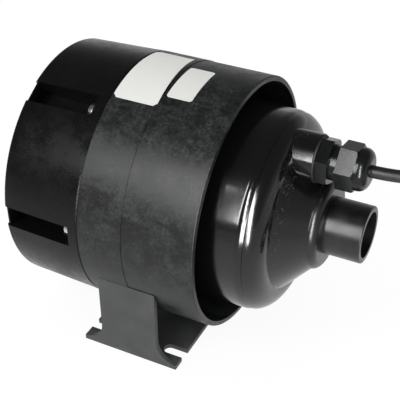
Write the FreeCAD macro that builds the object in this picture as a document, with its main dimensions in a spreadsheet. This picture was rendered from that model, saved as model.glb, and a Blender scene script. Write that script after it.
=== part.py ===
import FreeCAD, Part
import math
import os
from collections import namedtuple

import Sketcher
from FreeCAD import Vector

# Hot tub air blower: a round sleeve on a slotted foot, a screwed rear cap, and inside the sleeve
# a moulded bell that holds a through-flow motor and ends in the air outlet and the cable gland.
# Air enters through the ring gap round the bell, turns in the cap, passes the fan and the motor
# and leaves by the outlet.
#
# Sizes are in millimetres and degrees. Places along the axis count from the sleeve's front rim,
# towards the outlet.
sizes = {
    # casing
    "SleeveRadius": 75.0,
    "SleeveWall": 3.0,
    "SleeveLength": 71.4,
    "BandStart": 43.4,
    "BandStep": 0.3,
    "RimRound": 0.9,
    "SeamChamfer": 0.6,
    "CapLength": 49.8,
    "CapTaper": 1.5,
    "CapWall": 3.0,
    "CapEndWall": 3.2,
    "CapEdge": 1.8,
    "FloorGap": 4.5,
    # cap screws and the channels that lead to them
    "ScrewCount": 6,
    "ScrewInset": 8.5,
    "ScrewFloor": 6.1,
    "ScrewLength": 27.0,
    "ScrewRadius": 2.0,
    "ScrewClear": 0.25,
    "ScrewThreadGap": 0.05,
    "ScrewHeadRadius": 4.0,
    "ScrewHeadHeight": 2.8,
    "ScrewDomeShare": 0.6,
    "ScrewDomeHeightShare": 0.4,
    "RecessShare": 0.25,
    "ChannelWidth": 13.0,
    "ChannelDrop": 6.0,
    "ChannelWall": 2.5,
    "BossHalf": 4.6,
    "BossLength": 20.0,
    "LugHalf": 5.0,
    # fan support plate behind the bell
    "PlateThickness": 3.0,
    "PlateInset": 1.1,
    "PlateInlet": 24.0,
    # bell
    "BellFlange": 4.0,
    "InletGap": 12.9,
    "BellWall": 3.0,
    "BellReach": 30.0,
    "ShoulderRadius": 14.1,
    "BeadRadius": 6.0,
    "BeadRun": 3.7,
    "BeadDrop": 1.28,
    "GrooveRun": 4.4,
    "GrooveDrop": 1.7,
    "GrooveOut": 5.1,
    "GrooveOutDrop": 0.95,
    "FairingInset": 1.5,
    "FairingShift": 3.3,
    "CollarRadius": 27.0,
    "CollarReach": 50.0,
    "LipRadius": 5.0,
    "LipShift": 3.6,
    "OutletRadius": 16.65,
    "OutletBore": 13.4,
    "OutletReach": 72.2,
    "OutletEdge": 0.8,
    "LedgeInset": 9.1,
    "LedgeThickness": 3.0,
    "SeatStart": 22.2,
    "SeatEnd": 31.0,
    "SeatWall": 2.5,
    "RibCount": 3,
    "RibWidth": 3.0,
    "RibRun": 5.0,
    # cable gland
    "GlandHeight": 41.5,
    "GlandBossRadius": 14.0,
    "GlandBossReach": 40.5,
    "SpotFaceRadius": 14.2,
    "GlandThread": 10.0,
    "GlandThreadLength": 17.0,
    "GlandBore": 6.4,
    "GlandAcross": 24.0,
    "WasherRadius": 13.4,
    "WasherThickness": 1.0,
    "GlandHexLength": 7.0,
    "GlandHexTurn": 5.0,
    "HexChamfer": 1.0,
    "GlandNeck": 4.5,
    "GlandSleeveLength": 5.0,
    "NutTurn": 20.0,
    "NutLength": 10.0,
    "NoseLength": 7.0,
    "NoseRadius": 6.6,
    "NoseRound": 5.5,
    "NutFit": 0.1,
    "SealLength": 9.0,
    "CableRadius": 3.5,
    "CableClear": 0.1,
    # foot
    "FootCentre": 45.0,
    "FootInset": 4.9,
    "FootLength": 61.5,
    "FootWall": 3.0,
    "LegWidth": 36.5,
    "LegDrop": 23.85,
    "SlotWidth": 7.4,
    "SlotDepth": 13.5,
    "SlotInset": 11.6,
    "FootSeat": 0.05,
    # fan case and fan
    "InletGasket": 3.0,
    "InletGasketRadius": 36.0,
    "InletGasketBore": 25.0,
    "CaseInset": 7.1,
    "CaseWall": 1.0,
    "CaseLength": 24.0,
    "CaseEye": 19.0,
    "FanTipGap": 6.0,
    "FanGap": 1.0,
    "FanSheet": 1.0,
    "FanWidth": 12.4,
    "FanHubRadius": 8.0,
    "BladeCount": 7,
    "BladeCurve": 30.0,
    "BladeThickness": 1.2,
    "BladeStart": 78.0,
    "BladeStop": 23.0,
    "BladeAside": 14.0,
    "FanEye": 20.0,
    "DiffuserGap": 5.0,
    "DiffuserSheet": 1.5,
    "DiffuserDepth": 7.6,
    "DiffuserBore": 9.0,
    "VaneCount": 8,
    "SpacerRadius": 6.5,
    "SpacerGap": 0.1,
    "FanNutAcross": 13.0,
    "FanNutLength": 5.0,
    # motor frame
    "RearPlate": 3.0,
    "RearPlateRim": 2.0,
    "RearHubRadius": 14.0,
    "WindowInner": 18.0,
    "WindowOuter": 46.0,
    "WindowHalfAngle": 26.0,
    "WindowCount": 4,
    "ColumnRadius": 4.0,
    "BoltPitch": 38.5,
    "BoltRadius": 2.0,
    "BoltClear": 0.1,
    "BoltLength": 38.0,
    "BoltHeadRadius": 3.3,
    "BoltHeadHeight": 3.0,
    "MotorGasket": 3.0,
    "MotorGasketGap": 0.3,
    "StatorRear": 24.0,
    "StatorLength": 26.0,
    "StatorRadius": 42.0,
    "PoleCount": 2,
    "YokeRadius": 35.0,
    "PoleBore": 20.5,
    "PoleHalfAngle": 42.0,
    "PoleRoot": 0.5,
    "CoilInner": 24.0,
    "CoilOuter": 34.0,
    "CoilHalfAngle": 62.0,
    "CoilWindowAngle": 46.0,
    "CoilOverhang": 6.0,
    "FrontRing": 3.0,
    "FrontRingBore": 36.0,
    "FrontRingRadius": 41.8,
    "ArmThickness": 5.0,
    "ArmInset": 1.0,
    "ArmHalf": 8.0,
    "CrossbarStart": 18.5,
    "CrossbarThickness": 3.0,
    "FrontHubRadius": 12.5,
    "LedgeInner": 28.0,
    "LedgeHalf": 7.0,
    "LedgeFront": 9.0,
    # bearings, shaft and rotor
    "FitGap": 0.05,
    "RearBearingRadius": 11.0,
    "RearBearingWidth": 7.0,
    "FrontBearingRadius": 9.5,
    "FrontBearingWidth": 6.0,
    "FrontBearingStart": 23.0,
    "ShaftRadius": 5.0,
    "ShaftClear": 1.0,
    "ShaftTail": 1.0,
    "ShaftTip": 0.5,
    "RearJournal": 4.0,
    "FrontJournal": 3.5,
    "PressGap": 0.02,
    "CoreRadius": 20.0,
    "CoreInset": 1.0,
    "CoreSlots": 12,
    "CoreSlotWidth": 3.0,
    "CoreSlotFloor": 13.0,
    "WindingRadius": 17.0,
    "WindingBore": 8.0,
    "WindingOverhang": 6.0,
    "WindingGap": 0.2,
    "CommutatorRadius": 11.0,
    "CommutatorStart": 9.0,
    "CommutatorLength": 9.0,
    "CommutatorSlits": 12,
    "SlitWidth": 0.8,
    "SlitDepth": 1.2,
    # brushes, one above and one below the commutator
    "BrushWidth": 6.0,
    "BrushHeight": 8.0,
    "BrushRoot": 7.7,
    "BrushTop": 27.0,
    "BrushRunning": 0.3,
    "BrushClear": 0.3,
    "HolderWall": 1.0,
    "HolderInner": 14.0,
    "HolderOuter": 40.0,
    "HolderCap": 1.5,
    "SpringWire": 0.35,
    "SpringCoil": 2.2,
    "SpringTurns": 5.0,
    # cord, its coil on the floor and the plug at its end
    "CordStart": 61.5,
    "CoilX": 226.0,
    "CoilY": 10.0,
    "CoilInside": 24.3,
    "CoilOutside": 45.7,
    "CoilHeight": 14.4,
    "CoilEdge": 3.4,
    "PlugX": 240.0,
    "PlugY": 56.5,
    "PlugHeight": 7.2,
    "ReliefLength": 18.0,
    "ReliefStart": 4.4,
    "ReliefEnd": 6.2,
    "PlugLength": 27.0,
    "PlugHalfWidth": 10.5,
    "PlugHalfHeight": 7.2,
    "PlugCorner": 3.0,
    "PinRadius": 1.6,
    "PinLength": 10.0,
    "PinSpacing": 6.0,
    # silencer foam on the cap's end wall
    "FoamGap": 2.0,
    "FoamBore": 20.0,
    "FoamDepth": 16.0,
}

doc = FreeCAD.newDocument("HotTubAirBlower")
sheet = doc.addObject("Spreadsheet::Sheet", "Sizes")


class Size:
    # a number that carries the sheet formula it comes from

    def __init__(self, number, formula):
        self.number = float(number)
        self.formula = formula

    def joined(self, sign, other, number):
        return Size(number, "(" + self.formula + " " + sign + " " + other.formula + ")")

    def __add__(self, other):
        other = sized(other)
        return self.joined("+", other, self.number + other.number)

    def __sub__(self, other):
        other = sized(other)
        return self.joined("-", other, self.number - other.number)

    def __mul__(self, other):
        other = sized(other)
        return self.joined("*", other, self.number * other.number)

    def __truediv__(self, other):
        other = sized(other)
        return self.joined("/", other, self.number / other.number)

    def __radd__(self, other):
        return sized(other) + self

    def __rsub__(self, other):
        return sized(other) - self

    def __rmul__(self, other):
        return sized(other) * self

    def __neg__(self):
        return sized(0) - self


def sized(value):
    if isinstance(value, Size):
        return value
    if value < 0:
        return Size(value, "(0 - " + format(-value, ".6g") + ")")
    return Size(value, format(value, ".6g"))


def cosine(angle):
    return Size(math.cos(math.radians(angle.number)), "cos(" + angle.formula + ")")


def sine(angle):
    return Size(math.sin(math.radians(angle.number)), "sin(" + angle.formula + ")")


class Sheet:
    pass


s = Sheet()
for row, (name, value) in enumerate(sizes.items(), start=1):
    sheet.set("A" + str(row), name)
    sheet.set("B" + str(row), str(value))
    sheet.setAlias("B" + str(row), name)
    setattr(s, name, Size(value, "Sizes." + name))
doc.recompute()

Disc = namedtuple("Disc", "x y radius")
Arc = namedtuple("Arc", "x y centreX centreY turn")

ORIGIN = -1
CLOCKWISE = -1
ANTICLOCKWISE = 1

# radii that follow the sleeve's, each by its own clearance
axisZ = s.SleeveRadius + s.FloorGap
sleeveBore = s.SleeveRadius - s.SleeveWall
capRearRadius = s.SleeveRadius - s.CapTaper
screwPitch = s.SleeveRadius - s.ScrewInset
channelFloor = screwPitch - s.ChannelDrop
foamRadius = channelFloor - s.ChannelWall - s.FoamGap
bellRadius = sleeveBore - s.InletGap
bellBore = bellRadius - s.BellWall
crown = bellRadius - s.ShoulderRadius
fairingRoot = crown - s.FairingInset
ribReach = crown + s.RibRun
plateRadius = bellRadius - s.PlateInset
ledgeRadius = bellRadius - s.LedgeInset
caseRadius = bellRadius - s.CaseInset
fanRadius = caseRadius - s.FanTipGap
diffuserRadius = caseRadius - s.DiffuserGap
rearPlateRadius = caseRadius + s.RearPlateRim
footWidth = 2 * (s.SleeveRadius - s.FootInset)
slotSpacing = footWidth - 2 * s.SlotInset
legTop = axisZ - s.LegDrop

# the row's origin lies under the middle of the length, so the rim's place follows from the lengths
rimX = (s.CapLength + s.SleeveLength - s.OutletReach) / 2
atRim = (rimX, sized(0), axisZ)
atGland = (rimX, sized(0), axisZ + s.GlandHeight)
nodes = []


def newBody(label, place=atRim):
    body = doc.addObject("PartDesign::Body", label)
    body.Label = label
    for axis, size in zip("xyz", place):
        body.setExpression("Placement.Base." + axis, size.formula)
    nodes.append(body)
    return body


def originFeature(body, role):
    return [feature for feature in body.Origin.OriginFeatures if feature.Role == role][0]


def newSketch(body, name, role, offset=None):
    sketch = body.newObject("Sketcher::SketchObject", name)
    sketch.AttachmentSupport = [(originFeature(body, role), "")]
    sketch.MapMode = "FlatFace"
    if offset is not None:
        sketch.setExpression("AttachmentOffset.Base.z", sized(offset).formula)
    return sketch


def pin(sketch, constraints, formulas, element, position, x, y):
    # holds a point at a distance from the sketch's origin, or on an axis where the distance is nil
    for kind, size, axis in (("DistanceX", sized(x), -2), ("DistanceY", sized(y), -1)):
        if size.formula == "0":
            constraints.append(Sketcher.Constraint("PointOnObject", element, position, axis))
        else:
            formulas[len(constraints)] = size.formula
            constraints.append(
                Sketcher.Constraint(kind, ORIGIN, 1, element, position, size.number))


def arcElement(start, stop, arc):
    centre = Vector(sized(arc.centreX).number, sized(arc.centreY).number, 0)
    first = math.atan2(start.y - centre.y, start.x - centre.x)
    last = math.atan2(stop.y - centre.y, stop.x - centre.x)
    circle = Part.Circle(centre, Vector(0, 0, 1), (stop - centre).Length)
    if arc.turn == ANTICLOCKWISE:
        return Part.ArcOfCircle(circle, first, last), (1, 2)
    return Part.ArcOfCircle(circle, last, first), (2, 1)


def addLoop(sketch, corners, constraints, formulas):
    # a closed outline through its corners; an Arc is a corner that an arc leads to
    first = sketch.GeometryCount
    points = [Vector(sized(c[0]).number, sized(c[1]).number, 0) for c in corners]
    ends = []
    elements = []
    for i, corner in enumerate(corners):
        if isinstance(corner, Arc):
            element, ending = arcElement(points[i - 1], points[i], corner)
        else:
            element, ending = Part.LineSegment(points[i - 1], points[i]), (1, 2)
        elements.append(element)
        ends.append(ending)
    sketch.addGeometry(elements, False)
    for i, corner in enumerate(corners):
        this = first + i
        after = first + (i + 1) % len(corners)
        constraints.append(Sketcher.Constraint(
            "Coincident", this, ends[i][1], after, ends[(i + 1) % len(corners)][0]))
        pin(sketch, constraints, formulas, this, ends[i][1], corner[0], corner[1])
        if isinstance(corner, Arc):
            chord = points[i] - points[i - 1]
            if abs(chord.x) > abs(chord.y):
                kind, axis, size = "DistanceY", -1, sized(corner.centreY)
            else:
                kind, axis, size = "DistanceX", -2, sized(corner.centreX)
            if size.formula == "0":
                constraints.append(Sketcher.Constraint("PointOnObject", this, 3, axis))
            else:
                formulas[len(constraints)] = size.formula
                constraints.append(Sketcher.Constraint(kind, ORIGIN, 1, this, 3, size.number))


def addDisc(sketch, disc, constraints, formulas):
    element = sketch.GeometryCount
    centre = Vector(sized(disc.x).number, sized(disc.y).number, 0)
    circle = Part.Circle(centre, Vector(0, 0, 1), sized(disc.radius).number)
    sketch.addGeometry(circle, False)
    if sized(disc.x).formula == "0" and sized(disc.y).formula == "0":
        constraints.append(Sketcher.Constraint("Coincident", element, 3, ORIGIN, 1))
    else:
        pin(sketch, constraints, formulas, element, 3, disc.x, disc.y)
    formulas[len(constraints)] = sized(disc.radius).formula
    constraints.append(Sketcher.Constraint("Radius", element, sized(disc.radius).number))


def draw(sketch, loops):
    constraints = []
    formulas = {}
    for loop in loops:
        if isinstance(loop, Disc):
            addDisc(sketch, loop, constraints, formulas)
        else:
            addLoop(sketch, loop, constraints, formulas)
    sketch.addConstraint(constraints)
    for index, formula in formulas.items():
        sketch.setExpression("Constraints[" + str(index) + "]", formula)


def addAxisLine(sketch, height):
    # a construction line parallel to the body's axis, to turn a screw about
    line = Part.LineSegment(Vector(0, height.number, 0), Vector(1, height.number, 0))
    element = sketch.addGeometry(line, True)
    sketch.addConstraint([
        Sketcher.Constraint("PointOnObject", element, 1, -2),
        Sketcher.Constraint("Horizontal", element),
        Sketcher.Constraint("DistanceX", ORIGIN, 1, element, 2, 1.0)])
    index = sketch.addConstraint(
        Sketcher.Constraint("DistanceY", ORIGIN, 1, element, 1, height.number))
    sketch.setExpression("Constraints[" + str(index) + "]", height.formula)


def checkChange(body, name, before, cut):
    # a cut that points away from the solid changes nothing and shows no error
    doc.recompute()
    change = body.Shape.Volume - before
    if (change >= 0) if cut else (change <= 0):
        raise ValueError(body.Label + " " + name + " changed the volume by " + str(change))


def volumeOf(body):
    return body.Shape.Volume if body.Tip else 0.0


def turned(body, name, corners, cut=False, axisHeight=None):
    # an outline of axial place and radius, turned about the body's X axis
    before = volumeOf(body)
    sketch = newSketch(body, name + "Outline", "XY_Plane")
    draw(sketch, [corners])
    axis = "H_Axis"
    if axisHeight is not None:
        addAxisLine(sketch, axisHeight)
        axis = "Axis0"
    kind = "PartDesign::Groove" if cut else "PartDesign::Revolution"
    feature = body.newObject(kind, name)
    feature.Profile = sketch
    feature.ReferenceAxis = (sketch, [axis])
    feature.Angle = 360
    body.Tip = feature
    checkChange(body, name, before, cut)
    return feature


def prism(body, name, loops, start, length, cut=False, role="YZ_Plane"):
    # loops across the axis, run from start by length along it
    before = volumeOf(body)
    sketch = newSketch(body, name + "Outline", role, start)
    draw(sketch, loops)
    feature = body.newObject("PartDesign::Pocket" if cut else "PartDesign::Pad", name)
    feature.Profile = sketch
    feature.setExpression("Length", sized(length).formula)
    feature.Reversed = cut
    body.Tip = feature
    checkChange(body, name, before, cut)
    return feature


def ringOf(body, name, features, count):
    before = body.Shape.Volume
    pattern = body.newObject("PartDesign::PolarPattern", name)
    pattern.Originals = features
    pattern.Axis = (originFeature(body, "X_Axis"), [""])
    pattern.Angle = 360
    pattern.setExpression("Occurrences", count.formula)
    body.Tip = pattern
    doc.recompute()
    if abs(body.Shape.Volume - before) < 1e-6:
        raise ValueError(body.Label + " " + name + " repeats nothing")
    return pattern


def soften(body, name, size, pick, kind="Fillet"):
    base = body.Tip
    edges = ["Edge" + str(i) for i, edge in enumerate(base.Shape.Edges, start=1) if pick(edge)]
    if not edges:
        raise ValueError(body.Label + " " + name + " finds no edge")
    feature = body.newObject("PartDesign::" + kind, name)
    feature.Base = (base, edges)
    feature.setExpression("Radius" if kind == "Fillet" else "Size", sized(size).formula)
    body.Tip = feature
    doc.recompute()
    return feature


def ringEdge(x, radius):
    # picks the round edge of that radius about the body's axis at that place
    def pick(edge):
        curve = edge.Curve
        return (isinstance(curve, Part.Circle)
                and abs(curve.Radius - sized(radius).number) < 0.01
                and abs(curve.Center.x - sized(x).number) < 0.01
                and math.hypot(curve.Center.y, curve.Center.z) < 0.01)
    return pick


def tube(x0, x1, inner, outer):
    return [(x0, inner), (x1, inner), (x1, outer), (x0, outer)]


def slotShape(inner, outer, half):
    # runs out along the sketch's X axis and ends round, about the point at outer
    return [(inner, -half), (outer, -half), Arc(outer, half, outer, 0, ANTICLOCKWISE),
            (inner, half)]


def sector(inner, outer, halfAngle):
    # part of a ring about the axis, centred on the sketch's X axis
    return [Arc(inner * cosine(halfAngle), -(inner * sine(halfAngle)), 0, 0, CLOCKWISE),
            (outer * cosine(halfAngle), -(outer * sine(halfAngle))),
            Arc(outer * cosine(halfAngle), outer * sine(halfAngle), 0, 0, ANTICLOCKWISE),
            (inner * cosine(halfAngle), inner * sine(halfAngle))]


def rectangle(x0, x1, y0, y1):
    return [(x0, y0), (x1, y0), (x1, y1), (x0, y1)]


def hexagon(across, turn):
    # corners stand at turn and every 60 degrees after it, counted from straight up
    radius = across / math.sqrt(3)
    sides = 6
    step = 360 / sides
    return [(-(radius * sine(turn + step * i)), radius * cosine(turn + step * i))
            for i in range(sides)]


def bladeShape(side):
    # a curved blade between two arcs about a point beside the axis
    centreX = s.BladeAside
    centreY = -(side * s.BladeCurve)
    thick = s.BladeCurve + s.BladeThickness

    def at(radius, angle):
        return (centreX + radius * cosine(angle), centreY + side * radius * sine(angle))

    outward = CLOCKWISE if side > 0 else ANTICLOCKWISE
    back = at(s.BladeCurve, s.BladeStart)
    tip = at(thick, s.BladeStop)
    return [Arc(back[0], back[1], centreX, centreY, -outward), at(thick, s.BladeStart),
            Arc(tip[0], tip[1], centreX, centreY, outward), at(s.BladeCurve, s.BladeStop)]


# how far a cut runs past the face that it opens, and how far a joined feature runs in
past = 1

# places along the axis that several pieces share
seam = -s.SleeveLength
capEnd = seam - s.CapLength
screwSeat = seam - s.ScrewFloor
bellRear = seam + s.PlateThickness
bossRear = bellRear + s.BellFlange
caseRear = bellRear + s.InletGasket
caseFront = caseRear + s.CaseLength
rearPlateFront = caseFront + s.RearPlate
ledgeRear = rearPlateFront + s.MotorGasket
fanRear = caseRear + s.CaseWall + s.FanGap
fanFront = fanRear + s.FanWidth
rearBearingFront = rearPlateFront + s.RearBearingWidth
statorRear = -s.StatorRear
statorFront = statorRear + s.StatorLength
frontBearingEnd = s.FrontBearingStart + s.FrontBearingWidth
holderFront = s.LedgeFront + s.BrushWidth + 2 * (s.BrushClear + s.HolderWall)
brushX = (s.LedgeFront + holderFront) / 2
screwHole = Disc(screwPitch, 0, s.ScrewRadius + s.ScrewClear)


def makeSleeve():
    body = newBody("sleeve")
    turned(body, "Shell", [
        (seam, sleeveBore), (0, sleeveBore), (0, s.SleeveRadius), (-s.BandStart, s.SleeveRadius),
        (-s.BandStart, s.SleeveRadius + s.BandStep), (seam, s.SleeveRadius + s.BandStep)])
    soften(body, "FrontRim", s.RimRound, ringEdge(0, s.SleeveRadius))
    soften(body, "SeamEdge", s.SeamChamfer, ringEdge(seam, s.SleeveRadius + s.BandStep), "Chamfer")
    wallMiddle = s.SleeveRadius - s.SleeveWall / 2
    outline = [(wallMiddle, -s.BossHalf), (wallMiddle, s.BossHalf), (screwPitch, s.BossHalf),
               Arc(screwPitch, -s.BossHalf, screwPitch, 0, ANTICLOCKWISE)]
    boss = prism(body, "Boss", [outline], bossRear, s.BossLength)
    pilot = prism(body, "Pilot", [Disc(screwPitch, 0, s.ScrewRadius + s.ScrewThreadGap)],
                  bossRear, s.BossLength - s.SleeveWall, cut=True)
    ringOf(body, "Bosses", [boss, pilot], s.ScrewCount)


def makeCap():
    body = newBody("rear_cap")
    bore = capRearRadius - s.CapWall
    turned(body, "Shell", [
        (capEnd, 0), (capEnd + s.CapEndWall, 0), (capEnd + s.CapEndWall, bore), (seam, bore),
        (seam, s.SleeveRadius + s.BandStep), (capEnd, capRearRadius)])
    soften(body, "RearEdge", s.CapEdge, ringEdge(capEnd, capRearRadius))
    soften(body, "SeamEdge", s.SeamChamfer, ringEdge(seam, s.SleeveRadius + s.BandStep), "Chamfer")
    half = s.ChannelWidth / 2
    outerHalf = half + s.ChannelWall
    trough = prism(body, "Trough", [rectangle(
        channelFloor - s.ChannelWall, bore + s.CapWall / 2, -outerHalf, outerHalf)],
        capEnd + s.CapEndWall / 2, s.CapLength - s.CapEndWall / 2)
    channel = prism(body, "Channel", [rectangle(
        channelFloor, s.SleeveRadius + s.CapWall, -half, half)],
        capEnd - past, s.CapLength - s.ScrewFloor + past, cut=True)
    hole = prism(body, "Hole", [screwHole], screwSeat - past, s.ScrewFloor + 2 * past, cut=True)
    ringOf(body, "Channels", [trough, channel, hole], s.ScrewCount)


def makeCapScrews():
    body = newBody("cap_screws")
    headEnd = screwSeat - s.ScrewHeadHeight
    domeRadius = s.ScrewHeadRadius * s.ScrewDomeShare
    shank = screwPitch + s.ScrewRadius
    head = screwPitch + s.ScrewHeadRadius
    screw = turned(body, "Screw", [
        (headEnd, screwPitch), (screwSeat + s.ScrewLength, screwPitch),
        (screwSeat + s.ScrewLength, shank), (screwSeat, shank), (screwSeat, head),
        (screwSeat - s.ScrewHeadHeight * s.ScrewDomeHeightShare, head),
        (headEnd, screwPitch + domeRadius)], axisHeight=screwPitch)
    arm = s.ScrewRadius
    thin = s.ScrewRadius * s.RecessShare
    cross = [(screwPitch + a, b) for a, b in (
        (arm, thin), (thin, thin), (thin, arm), (-thin, arm), (-thin, thin), (-arm, thin),
        (-arm, -thin), (-thin, -thin), (-thin, -arm), (thin, -arm), (thin, -thin), (arm, -thin))]
    recess = prism(body, "Recess", [cross], headEnd - past, s.ScrewHeadHeight / 2 + past,
                   cut=True)
    ringOf(body, "Screws", [screw, recess], s.ScrewCount)


def makeFoam():
    body = newBody("foam_silencer")
    inside = capEnd + s.CapEndWall
    turned(body, "Pad", tube(inside, inside + s.FoamDepth, s.FoamBore, foamRadius))


def makeSupportPlate():
    body = newBody("fan_support_plate")
    turned(body, "Disc", tube(seam, bellRear, s.PlateInlet, plateRadius))
    lug = prism(body, "Lug", [slotShape(plateRadius - s.LugHalf, screwPitch, s.LugHalf)],
                seam, s.PlateThickness)
    hole = prism(body, "Hole", [screwHole], seam - past, s.PlateThickness + 2 * past, cut=True)
    ringOf(body, "Lugs", [lug, hole], s.ScrewCount)


def makeBell():
    body = newBody("bell_housing")
    shoulder = s.BellReach - s.ShoulderRadius
    lipStart = s.CollarReach - s.LipRadius
    lipFoot = s.CollarRadius - s.LipRadius
    turned(body, "Outside", [
        (bellRear, 0), (bellRear, bellRadius), (shoulder, bellRadius),
        Arc(shoulder + s.BeadRun, bellRadius - s.BeadDrop, shoulder, bellRadius - s.BeadRadius,
            CLOCKWISE),
        (shoulder + s.GrooveRun, bellRadius - s.GrooveDrop),
        (shoulder + s.GrooveOut, bellRadius - s.GrooveOutDrop),
        Arc(s.BellReach, crown, shoulder, crown, CLOCKWISE),
        (s.BellReach, fairingRoot), (lipStart, s.CollarRadius),
        Arc(s.CollarReach, lipFoot, lipStart, lipFoot, CLOCKWISE),
        (s.CollarReach, s.OutletRadius), (s.OutletReach, s.OutletRadius), (s.OutletReach, 0)])
    prism(body, "GlandBoss", [Disc(0, s.GlandHeight, s.GlandBossRadius)],
          shoulder, s.GlandBossReach - shoulder)
    inner = s.ShoulderRadius - s.BellWall
    turned(body, "Inside", [
        (bellRear - past, 0), (bellRear - past, bellBore), (ledgeRear, bellBore),
        (ledgeRear, ledgeRadius), (ledgeRear + s.LedgeThickness, ledgeRadius),
        (ledgeRear + s.LedgeThickness * 2, bellBore), (shoulder, bellBore),
        Arc(s.BellReach - s.BellWall, bellBore - inner, shoulder, bellBore - inner, CLOCKWISE),
        (s.BellReach - s.BellWall, fairingRoot - s.FairingShift),
        (lipStart - s.LipShift, s.CollarRadius - s.LipShift),
        (s.CollarReach - s.BellWall, lipFoot - s.BellWall),
        (s.CollarReach - s.BellWall, s.OutletBore), (s.OutletReach + past, s.OutletBore),
        (s.OutletReach + past, 0)], cut=True)
    soften(body, "OutletEdge", s.OutletEdge, ringEdge(s.OutletReach, s.OutletRadius))
    seatBore = s.FrontHubRadius + 2 * s.FitGap + s.SeatWall
    seatOuter = seatBore + s.SeatWall
    rib = prism(body, "Rib", [rectangle(-s.RibWidth / 2, s.RibWidth / 2,
                                        -ribReach, -(seatBore + s.SeatWall / 2))],
                s.SeatStart, s.BellReach - s.BellWall / 2 - s.SeatStart)
    ringOf(body, "Ribs", [rib], s.RibCount)
    turned(body, "CushionSeat", tube(s.SeatStart, s.SeatEnd, seatBore, seatOuter))
    prism(body, "SpotFace", [Disc(0, s.GlandHeight, s.SpotFaceRadius)], s.GlandBossReach,
          s.CollarReach - s.GlandBossReach, cut=True)
    prism(body, "GlandBore", [Disc(0, s.GlandHeight, s.GlandThread + s.BoltClear)],
          shoulder, s.GlandBossReach + past - shoulder, cut=True)
    lug = prism(body, "Lug", [slotShape(bellRadius - s.BellWall / 2, screwPitch, s.LugHalf)],
                bellRear, s.BellFlange)
    hole = prism(body, "LugHole", [screwHole], bellRear - past, s.BellFlange + 2 * past, cut=True)
    ringOf(body, "Lugs", [lug, hole], s.ScrewCount)


def makeGland():
    washerEnd = s.GlandBossReach + s.WasherThickness
    hexEnd = washerEnd + s.GlandHexLength
    nutStart = hexEnd + s.GlandNeck
    nutEnd = nutStart + s.NutLength
    noseEnd = nutEnd + s.NoseLength
    sleeveEnd = nutStart + s.GlandSleeveLength
    neckRadius = s.GlandThread - s.NutFit
    flatRadius = s.GlandAcross / 2
    cornerRadius = flatRadius + 2 * s.HexChamfer

    washer = newBody("gland_washer", atGland)
    turned(washer, "Ring", tube(s.GlandBossReach, washerEnd, s.GlandThread + s.NutFit,
                                s.WasherRadius))

    gland = newBody("gland_body", atGland)
    turned(gland, "Stem", tube(washerEnd - s.GlandThreadLength, sleeveEnd, s.GlandBore, neckRadius))
    prism(gland, "Hexagon", [hexagon(s.GlandAcross, s.GlandHexTurn),
                             Disc(0, 0, neckRadius - s.HexChamfer)], washerEnd, s.GlandHexLength)
    turned(gland, "CornerChamfer", [
        (hexEnd - s.HexChamfer, s.GlandAcross), (hexEnd - s.HexChamfer, cornerRadius),
        (hexEnd + s.HexChamfer, flatRadius), (hexEnd + s.HexChamfer, s.GlandAcross)], cut=True)

    seal = newBody("gland_seal", atGland)
    turned(seal, "Sleeve", tube(sleeveEnd + s.NutFit - s.SealLength,
                                sleeveEnd + s.NutFit, s.CableRadius + s.CableClear,
                                s.GlandBore - s.NutFit))
    turned(seal, "Collar", tube(sleeveEnd + s.NutFit, noseEnd - s.NoseRound,
                                s.CableRadius + s.CableClear, neckRadius - s.NutFit))

    nut = newBody("gland_nut", atGland)
    nutBore = neckRadius + s.NutFit
    prism(nut, "Hexagon", [hexagon(s.GlandAcross, s.NutTurn), Disc(0, 0, nutBore)],
          nutStart, s.NutLength)
    noseTop = noseEnd - s.NoseRound
    turned(nut, "Nose", [
        (nutEnd, nutBore), (noseTop + s.FitGap, nutBore),
        (noseTop + s.FitGap, s.CableRadius + s.CableClear),
        (noseEnd, s.CableRadius + s.CableClear), (noseEnd, s.NoseRadius),
        Arc(noseTop, s.NoseRadius + s.NoseRound, noseTop, s.NoseRadius, ANTICLOCKWISE),
        (nutEnd, s.NoseRadius + s.NoseRound)])
    turned(nut, "CornerChamfer", [
        (nutEnd - s.HexChamfer, s.GlandAcross), (nutEnd - s.HexChamfer, cornerRadius),
        (nutEnd + s.HexChamfer, flatRadius), (nutEnd + s.HexChamfer, s.GlandAcross)], cut=True)


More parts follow.
